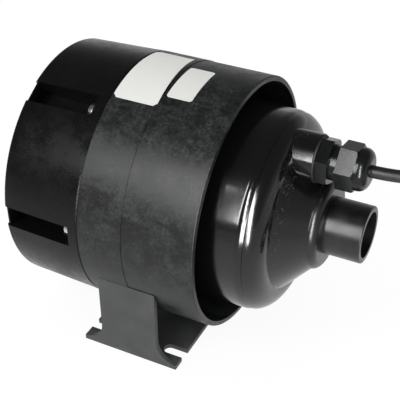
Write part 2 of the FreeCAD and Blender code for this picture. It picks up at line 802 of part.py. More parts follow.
def makeFoot():
    body = newBody("mounting_foot", (rimX - s.FootCentre, sized(0), sized(0)))
    halfLength = s.FootLength / 2
    halfWidth = footWidth / 2
    halfLeg = s.LegWidth / 2
    flare = halfLength - halfLeg
    prism(body, "Plate", [rectangle(-halfLength, halfLength, -halfWidth, halfWidth)],
          0, s.FootWall, role="XY_Plane")
    flareTop = s.FootWall + flare
    leg = [(-halfLength, s.FootWall / 2), (halfLength, s.FootWall / 2), (halfLength, s.FootWall),
           Arc(halfLeg, flareTop, halfLength, flareTop, CLOCKWISE),
           (halfLeg, legTop), (-halfLeg, legTop), (-halfLeg, flareTop),
           Arc(-halfLength, s.FootWall, -halfLength, flareTop, CLOCKWISE)]
    for name, start in (("NearLeg", halfWidth - s.FootWall), ("FarLeg", -halfWidth)):
        prism(body, name, [leg], start, s.FootWall, role="XZ_Plane")
    seat = s.SleeveRadius + s.BandStep + s.FootSeat
    prism(body, "SleeveSeat", [Disc(0, axisZ, seat)], -s.FootLength, 2 * s.FootLength,
          cut=True)
    slotHalf = s.SlotWidth / 2
    inner = halfLength - s.SlotDepth + slotHalf
    for x in (-1, 1):
        for y in (-1, 1):
            middle = y * slotSpacing / 2
            outline = [(x * (halfLength + past), middle - slotHalf),
                       (x * (halfLength + past), middle + slotHalf),
                       (x * inner, middle + slotHalf),
                       Arc(x * inner, middle - slotHalf, x * inner, middle, x)]
            name = "Slot" + str(2 + x) + str(2 + y)
            prism(body, name, [outline], -past, s.FootWall + 2 * past, cut=True,
                  role="XY_Plane")


def makeFanCase():
    gasket = newBody("inlet_gasket")
    turned(gasket, "Ring", tube(bellRear, caseRear, s.InletGasketBore, s.InletGasketRadius))
    case = newBody("fan_case")
    turned(case, "Can", [
        (caseRear, s.CaseEye), (caseRear, caseRadius), (caseFront, caseRadius),
        (caseFront, caseRadius - s.CaseWall),
        (caseRear + s.CaseWall, caseRadius - s.CaseWall), (caseRear + s.CaseWall, s.CaseEye)])


def makeFan():
    body = newBody("fan")
    turned(body, "Backplate", tube(fanFront - s.FanSheet, fanFront, s.RearJournal + s.PressGap,
                                   fanRadius))
    turned(body, "Hub", tube(fanRear + s.FanSheet, fanFront, s.RearJournal + s.PressGap,
                             s.FanHubRadius))
    blade = prism(body, "Blade", [bladeShape(1)], fanRear + s.FanSheet / 2,
                  s.FanWidth - s.FanSheet)
    ringOf(body, "Blades", [blade], s.BladeCount)
    turned(body, "Shroud", tube(fanRear, fanRear + s.FanSheet, s.FanEye, fanRadius))


def makeDiffuser():
    body = newBody("diffuser")
    rear = caseFront - s.DiffuserDepth
    turned(body, "Disc", tube(rear, rear + s.DiffuserSheet, s.DiffuserBore, diffuserRadius))
    vane = prism(body, "Vane", [bladeShape(-1)], rear + s.DiffuserSheet / 2,
                 s.DiffuserDepth - s.DiffuserSheet / 2)
    ringOf(body, "Vanes", [vane], s.VaneCount)


def makeRearBracket():
    body = newBody("rear_bracket")
    turned(body, "Plate", tube(caseFront, rearPlateFront, s.SpacerRadius + s.ShaftClear,
                               rearPlateRadius))
    window = prism(body, "Window", [sector(s.WindowInner, s.WindowOuter, s.WindowHalfAngle)],
                   caseFront - past, s.RearPlate + 2 * past, cut=True)
    ringOf(body, "Windows", [window], s.WindowCount)
    bearingSeat = s.RearBearingRadius + s.FitGap
    turned(body, "BearingHub", tube(rearPlateFront, rearBearingFront, bearingSeat,
                                    s.RearHubRadius))
    place = s.BoltPitch * math.sqrt(0.5)
    depth = s.BoltLength - s.FrontRing - s.StatorLength
    for y in (-1, 1):
        for z in (-1, 1):
            name = "Column" + str(2 + y) + str(2 + z)
            prism(body, name, [Disc(y * place, z * place, s.ColumnRadius)],
                  rearPlateFront - past, statorRear - rearPlateFront + past)
            prism(body, name + "Hole", [Disc(y * place, z * place, s.BoltRadius + s.BoltClear)],
                  statorRear - depth - past, depth + past, cut=True)


def makeMotorFrame():
    gasket = newBody("motor_gasket")
    turned(gasket, "Ring", tube(rearPlateFront, ledgeRear, ledgeRadius - s.MotorGasket,
                                bellBore - s.MotorGasketGap))

    place = s.BoltPitch * math.sqrt(0.5)
    boltHoles = [Disc(y * place, z * place, s.BoltRadius + s.BoltClear)
                 for y in (-1, 1) for z in (-1, 1)]
    stator = newBody("stator_core")
    prism(stator, "Yoke", [Disc(0, 0, s.StatorRadius), Disc(0, 0, s.YokeRadius)] + boltHoles,
          statorRear, s.StatorLength)
    pole = prism(stator, "Pole", [sector(s.PoleBore, s.YokeRadius + s.PoleRoot, s.PoleHalfAngle)],
                 statorRear, s.StatorLength)
    ringOf(stator, "Poles", [pole], s.PoleCount)

    coils = newBody("field_coils")
    coil = prism(coils, "Coil", [sector(s.CoilInner, s.CoilOuter, s.CoilHalfAngle)],
                 statorRear - s.CoilOverhang, s.StatorLength + 2 * s.CoilOverhang)
    window = prism(coils, "Window", [sector(s.CoilInner - past, s.CoilOuter + past,
                                            s.CoilWindowAngle)],
                   statorRear - s.FitGap, s.StatorLength + 2 * s.FitGap, cut=True)
    ringOf(coils, "Coils", [coil, window], s.PoleCount)

    front = newBody("front_bracket")
    prism(front, "Ring", [Disc(0, 0, s.FrontRingRadius), Disc(0, 0, s.FrontRingBore)] + boltHoles,
          statorFront, s.FrontRing)
    armInner = s.FrontRingRadius - s.ArmThickness
    ringInset = s.FrontRingRadius - s.ArmInset
    arm = prism(front, "Arm", [rectangle(armInner, ringInset, -s.ArmHalf, s.ArmHalf)],
                statorFront, s.CrossbarStart + s.CrossbarThickness - statorFront)
    ringOf(front, "Arms", [arm], s.PoleCount)
    prism(front, "Crossbar", [rectangle(-(armInner + s.ArmInset), armInner + s.ArmInset,
                                         -s.ArmHalf, s.ArmHalf)],
          s.CrossbarStart, s.CrossbarThickness)
    prism(front, "Hub", [Disc(0, 0, s.FrontHubRadius)], s.CrossbarStart,
          s.SeatEnd - s.CrossbarStart)
    prism(front, "BearingSeat", [Disc(0, 0, s.FrontBearingRadius + s.FitGap)],
          s.FrontBearingStart, s.SeatEnd + past - s.FrontBearingStart, cut=True)
    prism(front, "ShaftHole", [Disc(0, 0, s.ShaftRadius + s.ShaftClear)], s.CrossbarStart - past,
          s.SeatEnd - s.CrossbarStart, cut=True)
    for name, low, high in (("UpperLedge", s.LedgeInner, ringInset),
                            ("LowerLedge", -ringInset, -s.LedgeInner)):
        prism(front, name, [rectangle(-s.LedgeHalf, s.LedgeHalf, low, high)], statorFront,
              s.LedgeFront - statorFront)

    cushion = newBody("front_cushion")
    turned(cushion, "Ring", tube(s.SeatStart, s.SeatEnd, s.FrontHubRadius + s.FitGap,
                                 s.FrontHubRadius + s.FitGap + s.SeatWall))

    bolts = newBody("motor_bolts")
    ringFront = statorFront + s.FrontRing
    for y in (-1, 1):
        for z in (-1, 1):
            name = "Bolt" + str(2 + y) + str(2 + z)
            prism(bolts, name, [Disc(y * place, z * place, s.BoltRadius)],
                  ringFront - s.BoltLength, s.BoltLength)
            prism(bolts, name + "Head", [Disc(y * place, z * place, s.BoltHeadRadius)],
                  ringFront, s.BoltHeadHeight)


def makeBearings():
    rear = newBody("rear_bearing")
    turned(rear, "Race", tube(rearPlateFront, rearBearingFront, s.RearJournal + s.FitGap,
                              s.RearBearingRadius))
    front = newBody("front_bearing")
    turned(front, "Race", tube(s.FrontBearingStart, frontBearingEnd, s.FrontJournal + s.FitGap,
                               s.FrontBearingRadius))


def makeRotor():
    nutRear = fanRear + s.FanSheet - s.FanNutLength
    shaft = newBody("motor_shaft")
    turned(shaft, "Steps", [
        (nutRear - s.ShaftTail, 0), (frontBearingEnd + s.ShaftTip, 0),
        (frontBearingEnd + s.ShaftTip, s.FrontJournal),
        (s.FrontBearingStart - s.SpacerGap, s.FrontJournal),
        (s.FrontBearingStart - s.SpacerGap, s.ShaftRadius),
        (rearBearingFront + s.SpacerGap, s.ShaftRadius),
        (rearBearingFront + s.SpacerGap, s.RearJournal), (nutRear - s.ShaftTail, s.RearJournal)])

    nut = newBody("fan_nut")
    prism(nut, "Hexagon", [hexagon(s.FanNutAcross, sized(0)),
                           Disc(0, 0, s.RearJournal + s.PressGap)],
          nutRear, s.FanNutLength)

    spacer = newBody("fan_spacer")
    turned(spacer, "Sleeve", tube(fanFront, rearPlateFront - s.SpacerGap,
                                  s.RearJournal + s.PressGap, s.SpacerRadius))

    bore = s.ShaftRadius + s.PressGap
    coreRear = statorRear + s.CoreInset
    coreLength = s.StatorLength - 2 * s.CoreInset
    core = newBody("armature_core")
    turned(core, "Stack", tube(coreRear, coreRear + coreLength, bore, s.CoreRadius))
    half = s.CoreSlotWidth / 2
    slot = prism(core, "Slot", [rectangle(s.CoreSlotFloor, s.CoreRadius + past, -half, half)],
                 coreRear - past, coreLength + 2 * past, cut=True)
    ringOf(core, "Slots", [slot], s.CoreSlots)

    windings = newBody("armature_windings")
    windingRear = coreRear - s.WindingOverhang
    fill = half - s.WindingGap
    bar = prism(windings, "Bar", [rectangle(s.CoreSlotFloor + s.WindingGap,
                                            s.CoreRadius - s.WindingGap, -fill, fill)],
                coreRear - past, coreLength + 2 * past)
    ringOf(windings, "Bars", [bar], s.CoreSlots)
    turned(windings, "RearTurns", tube(windingRear, coreRear, s.WindingBore, s.WindingRadius))
    turned(windings, "FrontTurns", tube(coreRear + coreLength,
                                        coreRear + coreLength + s.WindingOverhang,
                                        s.WindingBore, s.WindingRadius))

    bars = newBody("commutator")
    commutatorEnd = s.CommutatorStart + s.CommutatorLength
    turned(bars, "Barrel", tube(s.CommutatorStart, commutatorEnd, bore, s.CommutatorRadius))
    slit = prism(bars, "Slit", [rectangle(s.CommutatorRadius - s.SlitDepth,
                                          s.CommutatorRadius + past,
                                          -s.SlitWidth / 2, s.SlitWidth / 2)],
                 s.CommutatorStart + past, s.CommutatorLength, cut=True)
    ringOf(bars, "Slits", [slit], s.CommutatorSlits)


def makeBrushes():
    halfX = s.BrushWidth / 2
    halfY = s.BrushHeight / 2
    face = s.CommutatorRadius + s.BrushRunning
    for side, word in ((1, "upper"), (-1, "lower")):
        def span(low, high):
            return (low, high) if side > 0 else (-high, -low)

        brush = newBody(word + "_brush")
        low, high = span(s.BrushRoot, s.BrushTop)
        prism(brush, "Block", [rectangle(-halfY, halfY, low, high)], brushX - halfX, s.BrushWidth)
        prism(brush, "Face", [Disc(0, 0, face)], brushX - s.BrushWidth, 2 * s.BrushWidth, cut=True)

        holder = newBody(word + "_brush_holder")
        innerX = halfX + s.BrushClear
        innerY = halfY + s.BrushClear
        low, high = span(s.HolderInner, s.HolderOuter + s.HolderCap)
        prism(holder, "Box", [rectangle(-(innerY + s.HolderWall), innerY + s.HolderWall, low,
                                        high)], s.LedgeFront, holderFront - s.LedgeFront)
        low, high = span(s.HolderInner - past, s.HolderOuter)
        prism(holder, "Guide", [rectangle(-innerY, innerY, low, high)], brushX - innerX,
              2 * innerX, cut=True)


WIRE_SIDES = 6


def makeSprings():
    # a thin wire, coiled between the brush and the holder's cap
    height = s.HolderOuter.number - s.BrushTop.number - 2 * s.SpringWire.number
    pitch = height / s.SpringTurns.number
    for side, word in ((1, "upper"), (-1, "lower")):
        helix = Part.makeHelix(pitch, height, s.SpringCoil.number)
        wire = Part.Wire(helix.Edges)
        start = wire.Edges[0].valueAt(wire.Edges[0].FirstParameter)
        along = wire.Edges[0].tangentAt(wire.Edges[0].FirstParameter)
        rim = Part.makeCircle(s.SpringWire.number, start, along)
        section = Part.makePolygon(rim.discretize(WIRE_SIDES + 1))
        coil = wire.makePipeShell([section], True, True)
        feature = doc.addObject("Part::Feature", word + "_brush_spring")
        feature.Label = word + "_brush_spring"
        lift = s.BrushTop.number + s.SpringWire.number
        if side < 0:
            coil = coil.mirror(Vector(0, 0, 0), Vector(0, 0, 1))
        feature.Shape = coil
        feature.Placement = FreeCAD.Placement(
            Vector(rimX.number + brushX.number, 0, axisZ.number + side * lift),
            FreeCAD.Rotation())
        nodes.append(feature)


# the cord's route: points counted from where it leaves the gland's nut, then points in the row's
# own frame that lead down to the floor and onto the coil
fromGland = [
    (0.0, 0.0, 0.0), (19.0, 0.0, 0.0), (39.5, 5.0, 1.5), (57.5, 17.5, -1.5), (70.0, 34.0, -14.0)]
toCoil = [
    (162.0, 45.0, 88.0), (165.0, 51.0, 66.0), (170.0, 54.0, 44.0), (183.0, 54.0, 25.0),
    (203.0, 52.7, 13.0), (224.0, 52.0, 10.4)]
arcShare = 0.45


def roundedPath(points):
    # straight runs joined by tangent arcs, each as large as its two runs allow
    edges = []
    here = points[0]
    radii = []
    for i in range(1, len(points) - 1):
        back = (points[i - 1] - points[i]).normalize()
        ahead = (points[i + 1] - points[i]).normalize()
        run = min((points[i] - points[i - 1]).Length, (points[i + 1] - points[i]).Length)
        halfTurn = (math.pi - back.getAngle(ahead)) / 2
        setback = arcShare * run
        radius = setback / math.tan(halfTurn)
        radii.append(round(radius, 1))
        first = points[i] + back * setback
        last = points[i] + ahead * setback
        bisector = (back + ahead).normalize()
        middle = points[i] + bisector * (radius / math.cos(halfTurn) - radius)
        edges.append(Part.LineSegment(here, first).toShape())
        edges.append(Part.Arc(first, middle, last).toShape())
        here = last
    edges.append(Part.LineSegment(here, points[-1]).toShape())
    print("cord arc radii", radii)
    return Part.Wire(edges)


def makeCord():
    mouth = Vector(*[size.number for size in atGland]) + Vector(s.CordStart.number, 0, 0)
    route = [mouth + Vector(*p) for p in fromGland] + [Vector(*p) for p in toCoil]
    path = roundedPath(route)
    start = route[0]
    along = route[1] - start
    section = Part.Wire([Part.makeCircle(s.CableRadius.number, start, along)])
    feature = doc.addObject("Part::Feature", "cord")
    feature.Label = "cord"
    feature.Shape = path.makePipeShell([section], True, True)
    nodes.append(feature)
    expected = math.pi * s.CableRadius.number ** 2 * path.Length
    print("cord length", round(path.Length, 1), "volume share",
          round(feature.Shape.Volume / expected, 4))


def makeCordCoil():
    # the outer shape of six turns, three beside each other in two layers
    coil = doc.addObject("Part::Cylinder", "CoilOuter")
    coil.setExpression("Radius", s.CoilOutside.formula)
    coil.setExpression("Height", s.CoilHeight.formula)
    middle = doc.addObject("Part::Cylinder", "CoilMiddle")
    middle.setExpression("Radius", s.CoilInside.formula)
    middle.setExpression("Height", s.CoilHeight.formula)
    ring = doc.addObject("Part::Cut", "CoilRing")
    ring.Base = coil
    ring.Tool = middle
    doc.recompute()
    rounded = doc.addObject("Part::Chamfer", "cord_coil")
    rounded.Label = "cord_coil"
    rounded.Base = ring
    edge = s.CoilEdge.number
    rounded.Edges = [(i, edge, edge) for i, e in enumerate(ring.Shape.Edges, start=1)
                     if isinstance(e.Curve, Part.Circle)]
    rounded.setExpression("Placement.Base.x", s.CoilX.formula)
    rounded.setExpression("Placement.Base.y", s.CoilY.formula)
    nodes.append(rounded)


def makePlug():
    place = (s.PlugX, s.PlugY, s.PlugHeight)
    bodyEnd = s.ReliefLength + s.PlugLength
    plug = newBody("plug", place)
    turned(plug, "Relief", [(0, 0), (0, s.ReliefStart), (s.ReliefLength, s.ReliefEnd),
                            (s.ReliefLength, 0)])
    wide = s.PlugHalfWidth
    tall = s.PlugHalfHeight
    x = wide - s.PlugCorner
    y = tall - s.PlugCorner
    grip = [(-x, -tall), (x, -tall), Arc(wide, -y, x, -y, ANTICLOCKWISE), (wide, y),
            Arc(x, tall, x, y, ANTICLOCKWISE), (-x, tall), Arc(-wide, y, -x, y, ANTICLOCKWISE),
            (-wide, -y), Arc(-x, -tall, -x, -y, ANTICLOCKWISE)]
    prism(plug, "Grip", [grip[1:]], s.ReliefLength, s.PlugLength)
    pins = newBody("plug_pins", place)
    for i in (-1, 0, 1):
        prism(pins, "Pin" + str(i + 2), [Disc(i * s.PinSpacing, 0, s.PinRadius)], bodyEnd,
              s.PinLength)


makeSleeve()
makeCap()
makeCapScrews()
makeFoam()
makeSupportPlate()
makeBell()
makeGland()
makeFoot()
makeFanCase()
makeFan()
makeDiffuser()
makeRearBracket()
makeMotorFrame()
makeBearings()
makeRotor()
makeBrushes()
makeSprings()
makeCord()
makeCordCoil()
makePlug()

doc.recompute()
for item in doc.Objects:
    if "Invalid" in item.State or "Error" in item.State:
        raise ValueError(item.Name + " is " + str(item.State))
for node in nodes:
    if node.Shape.isNull() or not node.Shape.isValid():
        raise ValueError(node.Label + " has no valid shape")

os.makedirs("parts", exist_ok=True)
for node in nodes:
    node.Shape.exportStep(os.path.join("parts", node.Label + ".step"))
    box = node.Shape.BoundBox
    print(node.Label, len(node.Shape.Solids), "solids, volume", round(node.Shape.Volume),
          "x", round(box.XMin, 1), round(box.XMax, 1), "y", round(box.YMin, 1),
          round(box.YMax, 1), "z", round(box.ZMin, 1), round(box.ZMax, 1))
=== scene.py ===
import bpy
import math
from mathutils import Matrix, Vector


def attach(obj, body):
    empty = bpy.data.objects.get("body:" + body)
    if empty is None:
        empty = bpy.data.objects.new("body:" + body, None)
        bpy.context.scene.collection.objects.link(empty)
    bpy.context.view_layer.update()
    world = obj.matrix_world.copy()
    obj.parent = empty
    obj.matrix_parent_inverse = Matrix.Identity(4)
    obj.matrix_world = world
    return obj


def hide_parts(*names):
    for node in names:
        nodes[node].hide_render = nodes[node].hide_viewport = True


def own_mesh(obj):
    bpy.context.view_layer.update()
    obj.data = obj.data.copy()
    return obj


# Hot tub air blower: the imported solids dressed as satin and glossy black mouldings, with the cord
# coiled on the floor, on a plain white studio floor. All places are in metres.

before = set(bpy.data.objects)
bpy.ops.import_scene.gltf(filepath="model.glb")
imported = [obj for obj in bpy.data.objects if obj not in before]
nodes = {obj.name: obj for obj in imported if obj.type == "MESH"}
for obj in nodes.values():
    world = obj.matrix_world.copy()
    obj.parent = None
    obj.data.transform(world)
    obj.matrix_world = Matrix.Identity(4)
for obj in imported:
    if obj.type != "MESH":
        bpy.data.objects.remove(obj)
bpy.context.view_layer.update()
scene = bpy.context.scene
scene.view_settings.view_transform = "Standard"

axisHeight = 0.0795                # height of the blower's axis
rimX = 0.0245                      # the sleeve's front rim
alongX = (0.0, math.pi / 2.0, 0.0)     # turns an upright primitive to lie along the axis


def selectOnly(obj):
    if bpy.context.object and bpy.context.object.mode != "OBJECT":
        bpy.ops.object.mode_set(mode="OBJECT")
    bpy.ops.object.select_all(action="DESELECT")
    obj.select_set(True)
    bpy.context.view_layer.objects.active = obj


def editAll(obj):
    selectOnly(obj)
    bpy.ops.object.mode_set(mode="EDIT")
    bpy.ops.mesh.select_all(action="SELECT")


def editNone(obj):
    selectOnly(obj)
    bpy.ops.object.mode_set(mode="EDIT")
    bpy.ops.mesh.select_all(action="DESELECT")


def leaveEdit():
    bpy.ops.object.mode_set(mode="OBJECT")


def pickRearFaces(obj):
    # opens the mesh with the faces that look along -X selected
    editNone(obj)
    leaveEdit()
    for face in obj.data.polygons:
        face.select = face.normal.x < -0.9
    bpy.ops.object.mode_set(mode="EDIT")
    bpy.ops.mesh.select_mode(type="FACE")


def addModifier(obj, kind, **settings):
    selectOnly(obj)
    modifier = obj.modifiers.new(kind.title(), kind)
    for name, value in settings.items():
        setattr(modifier, name, value)
    bpy.ops.object.modifier_apply(modifier=modifier.name)


def placeInMesh(obj):
    selectOnly(obj)
    bpy.ops.object.transform_apply(location=True, rotation=True, scale=True)


def joined(name, parts):
    bpy.ops.object.select_all(action="DESELECT")
    for part in parts:
        part.select_set(True)
    bpy.context.view_layer.objects.active = parts[0]
    bpy.ops.object.join()
    parts[0].name = name
    return parts[0]


def copied(obj, move):
    # a copy with a mesh of its own, which is moved in the mesh
    copy = bpy.data.objects.new(obj.name, obj.data.copy())
    scene.collection.objects.link(copy)
    copy.data.transform(move)
    return copy


def smoothByAngle(obj, degrees):
    selectOnly(obj)
    bpy.ops.object.shade_smooth_by_angle(angle=math.radians(degrees))


def painted(obj, finish):
    obj.data.materials.clear()
    obj.data.materials.append(finish)


def onHousing(obj, slotName, *replacedNodes):
    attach(obj, "housing")
    if replacedNodes:
        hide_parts(*replacedNodes)
    return obj


class Value:
    # a socket that takes part in plain sums

    def __init__(self, graph, socket):
        self.graph = graph
        self.socket = socket

    def math(self, operation, first, second):
        return self.graph.add("Math", {"operation": operation}, {0: first, 1: second})

    def __add__(self, other):
        return self.math("ADD", self, other)

    def __radd__(self, other):
        return self.math("ADD", other, self)

    def __sub__(self, other):
        return self.math("SUBTRACT", self, other)

    def __rsub__(self, other):
        return self.math("SUBTRACT", other, self)

    def __mul__(self, other):
        return self.math("MULTIPLY", self, other)

    def __rmul__(self, other):
        return self.math("MULTIPLY", other, self)

    def __lt__(self, other):
        return self.math("LESS_THAN", self, other)


class Graph:
    # one material and the nodes that are added to it

    def __init__(self, owner):
        self.owner = owner
        owner.use_nodes = True
        self.tree = owner.node_tree
        self.tree.nodes.clear()

    def add(self, kind, settings=None, sockets=None, out=0):
        node = self.tree.nodes.new("ShaderNode" + kind)
        for name, value in (settings or {}).items():
            if name == "stops":
                ramp = node.color_ramp.elements
                while len(ramp) < len(value):
                    ramp.new(1.0)
                for element, (position, tone) in zip(ramp, value):
                    element.position = position
                    element.color = tone
            else:
                setattr(node, name, value)
        for name, value in (sockets or {}).items():
            if isinstance(value, Value):
                self.tree.links.new(value.socket, node.inputs[name])
            else:
                node.inputs[name].default_value = value
        if node.outputs:
            return Value(self, node.outputs[out])

    def place(self, scale=(1.0, 1.0, 1.0)):
        spot = self.add("TexCoord", out="Object")
        return self.add("Mapping", {}, {"Vector": spot, "Scale": scale})

    def noise(self, scale, detail, roughness, stretch=(1.0, 1.0, 1.0)):
        return self.add("TexNoise", {}, {"Vector": self.place(stretch), "Scale": scale,
                                         "Detail": detail, "Roughness": roughness})

    def band(self, value, low, high):
        # runs from nothing at low to full at high
        return self.add("MapRange", {"interpolation_type": "SMOOTHSTEP"},
                        {"Value": value, "From Min": low, "From Max": high})

    def specks(self, scale, size):
        spots = self.add("TexVoronoi", {}, {"Vector": self.place(), "Scale": scale})
        return spots < size

    def mix(self, share, first, second):
        # the node's sockets share their names, so they go by number: 6, 7 and output 2 are colours
        return self.add("Mix", {"data_type": "RGBA"}, {0: share, 6: first, 7: second}, out=2)

    def bump(self, height, strength, distance):
        return self.add("Bump", {}, {"Height": height, "Strength": strength,
                                     "Distance": distance})

    def surface(self, shade, roughness, metallic=0.0, normal=None, specular=0.5):
        sockets = {"Base Color": shade, "Roughness": roughness, "Metallic": metallic,
                   "Specular IOR Level": specular}
        if normal is not None:
            sockets["Normal"] = normal
        shader = self.add("BsdfPrincipled", {}, sockets)
        self.add("OutputMaterial", {}, {"Surface": shader})
        return self.owner


def newGraph(name):
    return Graph(bpy.data.materials.new(name))


def colour(level, tint=(1.0, 1.0, 1.0)):
    return (level * tint[0], level * tint[1], level * tint[2], 1.0)


cameraSettings = {
    "place": (0.2080, -0.4249, 0.4048),
    "azimuth": 26.98,
    "elevation": 34.98,
    "roll": -0.6,
    "lens": 87.12,
    "film": 36.0,
}


def makeCamera(settings):
    azimuth = math.radians(settings["azimuth"])
    elevation = math.radians(settings["elevation"])
    roll = math.radians(settings["roll"])
    back = Vector((math.sin(azimuth) * math.cos(elevation),
                   -math.cos(azimuth) * math.cos(elevation), math.sin(elevation)))
    right = Vector((math.cos(azimuth), math.sin(azimuth), 0.0))
    up = back.cross(right)
    rolledRight = math.cos(roll) * right + math.sin(roll) * up
    rolledUp = -math.sin(roll) * right + math.cos(roll) * up
    data = bpy.data.cameras.new("studioCamera")
    data.lens = settings["lens"]
    data.sensor_width = settings["film"]
    data.clip_end = 20.0
    camera = bpy.data.objects.new("studioCamera", data)
    scene.collection.objects.link(camera)
    turn = Matrix((rolledRight, rolledUp, back)).transposed().to_4x4()
    camera.matrix_world = Matrix.Translation(settings["place"]) @ turn
    scene.camera = camera


makeCamera(cameraSettings)
print("camera placed")


cordSettings = {
    "radius": 0.0035,
    "order": 3,
    "smoothness": 6,
    "roundness": 5,
    "route": [
        (0.0860, 0.0, 0.1210), (0.1050, 0.0, 0.1210), (0.1255, 0.0050, 0.1225),
        (0.1435, 0.0175, 0.1195), (0.1560, 0.0340, 0.1070), (0.1620, 0.0450, 0.0880),
        (0.1650, 0.0510, 0.0660), (0.1700, 0.0540, 0.0440), (0.1830, 0.0540, 0.0250),
        (0.2030, 0.0527, 0.0130), (0.2240, 0.0520, 0.0104)],
    "coilCentre": (0.226, 0.010),
    "outerTurn": 0.0421,
    "turnStep": 0.00715,           # from one turn to the next inside it
    "upperLayer": 0.0107,
    "lowerLayer": 0.0035,
    "inward": (295.0, 655.0),      # degrees round the coil at which the cord shifts a turn
    "dropAt": 975.0,
    "outward": (1290.0, 1650.0, 2010.0),
    "shift": 40.0,                 # degrees that a shift takes
    "lastAngle": 2138.0,
    "pointsPerTurn": 20,
    "tail": [
        (0.2190, 0.0590, 0.0040), (0.2300, 0.0595, 0.0055), (0.2410, 0.0580, 0.0068),
        (0.2520, 0.0566, 0.0072), (0.2620, 0.0565, 0.0072)],
    "exit": (0.0945, 0.0, 0.121),
    "length": 1.60,
}


def eased(angle, start, width):
    share = min(max((angle - start) / width, 0.0), 1.0)
    return share * share * (3.0 - 2.0 * share)


def coilPoint(settings, angle):
    radius = settings["outerTurn"]
    for start in settings["inward"]:
        radius -= settings["turnStep"] * eased(angle, start, settings["shift"])
    for start in settings["outward"]:
        radius += settings["turnStep"] * eased(angle, start, settings["shift"])
    fall = settings["upperLayer"] - settings["lowerLayer"]
    height = settings["upperLayer"] - fall * eased(angle, settings["dropAt"], settings["shift"])
    turn = math.radians(angle)
    return (settings["coilCentre"][0] + radius * math.sin(turn),
            settings["coilCentre"][1] + radius * math.cos(turn), height)


def makeCord(settings):
    points = list(settings["route"])
    step = 360.0 / settings["pointsPerTurn"]
    for i in range(1, int(settings["lastAngle"] / step) + 1):
        points.append(coilPoint(settings, step * i))
    points.extend(settings["tail"])
    data = bpy.data.curves.new("mainsCord", "CURVE")
    data.dimensions = "3D"
    data.bevel_depth = settings["radius"]
    data.bevel_resolution = settings["roundness"]
    data.resolution_u = settings["smoothness"]
    data.use_fill_caps = True
    spline = data.splines.new("NURBS")
    spline.points.add(len(points) - 1)
    for point, place in zip(spline.points, points):
        point.co = (*place, 1.0)
    spline.order_u = settings["order"]
    spline.use_endpoint_u = True
    cord = bpy.data.objects.new("mainsCord", data)
    scene.collection.objects.link(cord)
    print("cord length", round(spline.calc_length(), 4))
    return cord


casingSettings = {
    "base": colour(0.0095),
    "dust": colour(0.082, (0.85, 1.03, 0.99)),
    "roughness": 0.28,
    "dustShare": 0.85,
    "blotchScale": 55.0,
    "swirl": 1.4,
    "grainScale": 1500.0,
    "grainDepth": 0.00009,
    "specular": 0.33,
}
capSettings = {
    "base": colour(0.0050),
    "dust": colour(0.012, (1.0, 1.0, 1.08)),
    "roughness": 0.14,
    "dustShare": 0.12,
    "blotchScale": 22.0,
    "swirl": 0.6,
    "grainScale": 1300.0,
    "grainDepth": 0.00003,
    "specular": 0.19,
}
mottleSettings = {                 # shared by both
    "detail": 5.0,
    "crumble": 0.62,
    "fineness": 9.0,               # of the finer mottle, against the blotches
    "wipeScale": 14.0,
    "wipeStretch": (5.0, 1.0, 1.0),
    "blotchPart": 0.55,            # how the three patterns add up
    "finePart": 0.30,
    "wipePart": 0.15,
    "band": (0.40, 0.66),
    "gritScale": 1100.0,
    "gritBand": (0.42, 0.68),
    "gritPart": 0.7,
    "grainStrength": 0.5,
    "rougherMottle": 0.18,         # what each adds to the roughness
    "rougherWipe": 0.06,
    "rougherGrit": 0.10,
}


def casingFinish(name, settings, pattern):
    # satin black moulding, with dust in a faint mottle, wiping marks and a fine grain
    graph = newGraph(name)
    blotch = graph.add("TexNoise", {}, {
        "Vector": graph.place(), "Scale": settings["blotchScale"], "Detail": pattern["detail"],
        "Roughness": pattern["crumble"], "Distortion": settings["swirl"]})
    fine = graph.noise(settings["blotchScale"] * pattern["fineness"], 3.0, 0.6)
    wipe = graph.noise(pattern["wipeScale"], 2.0, 0.5, pattern["wipeStretch"])
    total = (blotch * pattern["blotchPart"] + fine * pattern["finePart"]
             + wipe * pattern["wipePart"])
    mottle = graph.band(total, *pattern["band"])
    grain = graph.noise(settings["grainScale"], 2.0, 0.6)
    grit = graph.band(graph.noise(pattern["gritScale"], 2.0, 0.7), *pattern["gritBand"])
    gritty = grit * pattern["gritPart"] + (1.0 - pattern["gritPart"])
    share = mottle * gritty * settings["dustShare"]
    dusty = graph.mix(share, settings["base"], settings["dust"])
    rough = (settings["roughness"] + mottle * pattern["rougherMottle"]
             + wipe * pattern["rougherWipe"] + grit * pattern["rougherGrit"])
    relief = graph.bump(grain, pattern["grainStrength"], settings["grainDepth"])
    return graph.surface(dusty, rough, normal=relief, specular=settings["specular"])


bellSettings = {
    "base": colour(0.0075),
    "dust": colour(0.13, (1.0, 0.96, 0.90)),
    "film": colour(0.030, (0.96, 1.0, 1.05)),
    "roughness": 0.12,
    "specular": 0.50,
    "peelScale": 160.0,
    "peelStrength": 0.30,
    "peelDepth": 0.00012,
    "waveScale": 34.0,
    "crease": (0.0535, 0.0575),    # where dust gathers, along the axis
    "creaseFade": 0.003,
    "patchScale": 260.0,
    "patchBand": (0.46, 0.60),
    "speckScale": 800.0,
    "speckSize": 0.30,
    "speckShare": 0.38,
    "looseScale": 330.0,           # single specks all over
    "looseSize": 0.050,
    "looseShare": 0.16,
    "tube": (0.0640, 0.0760),      # the outlet turns duller along here
    "cloudScale": 70.0,
    "cloudBand": (0.30, 0.75),
    "filmShare": 0.5,
    "rougherWave": 0.05,           # what each adds to the roughness
    "rougherSpecks": 0.4,
    "rougherTube": 0.14,
    "rougherFilm": 0.10,
}


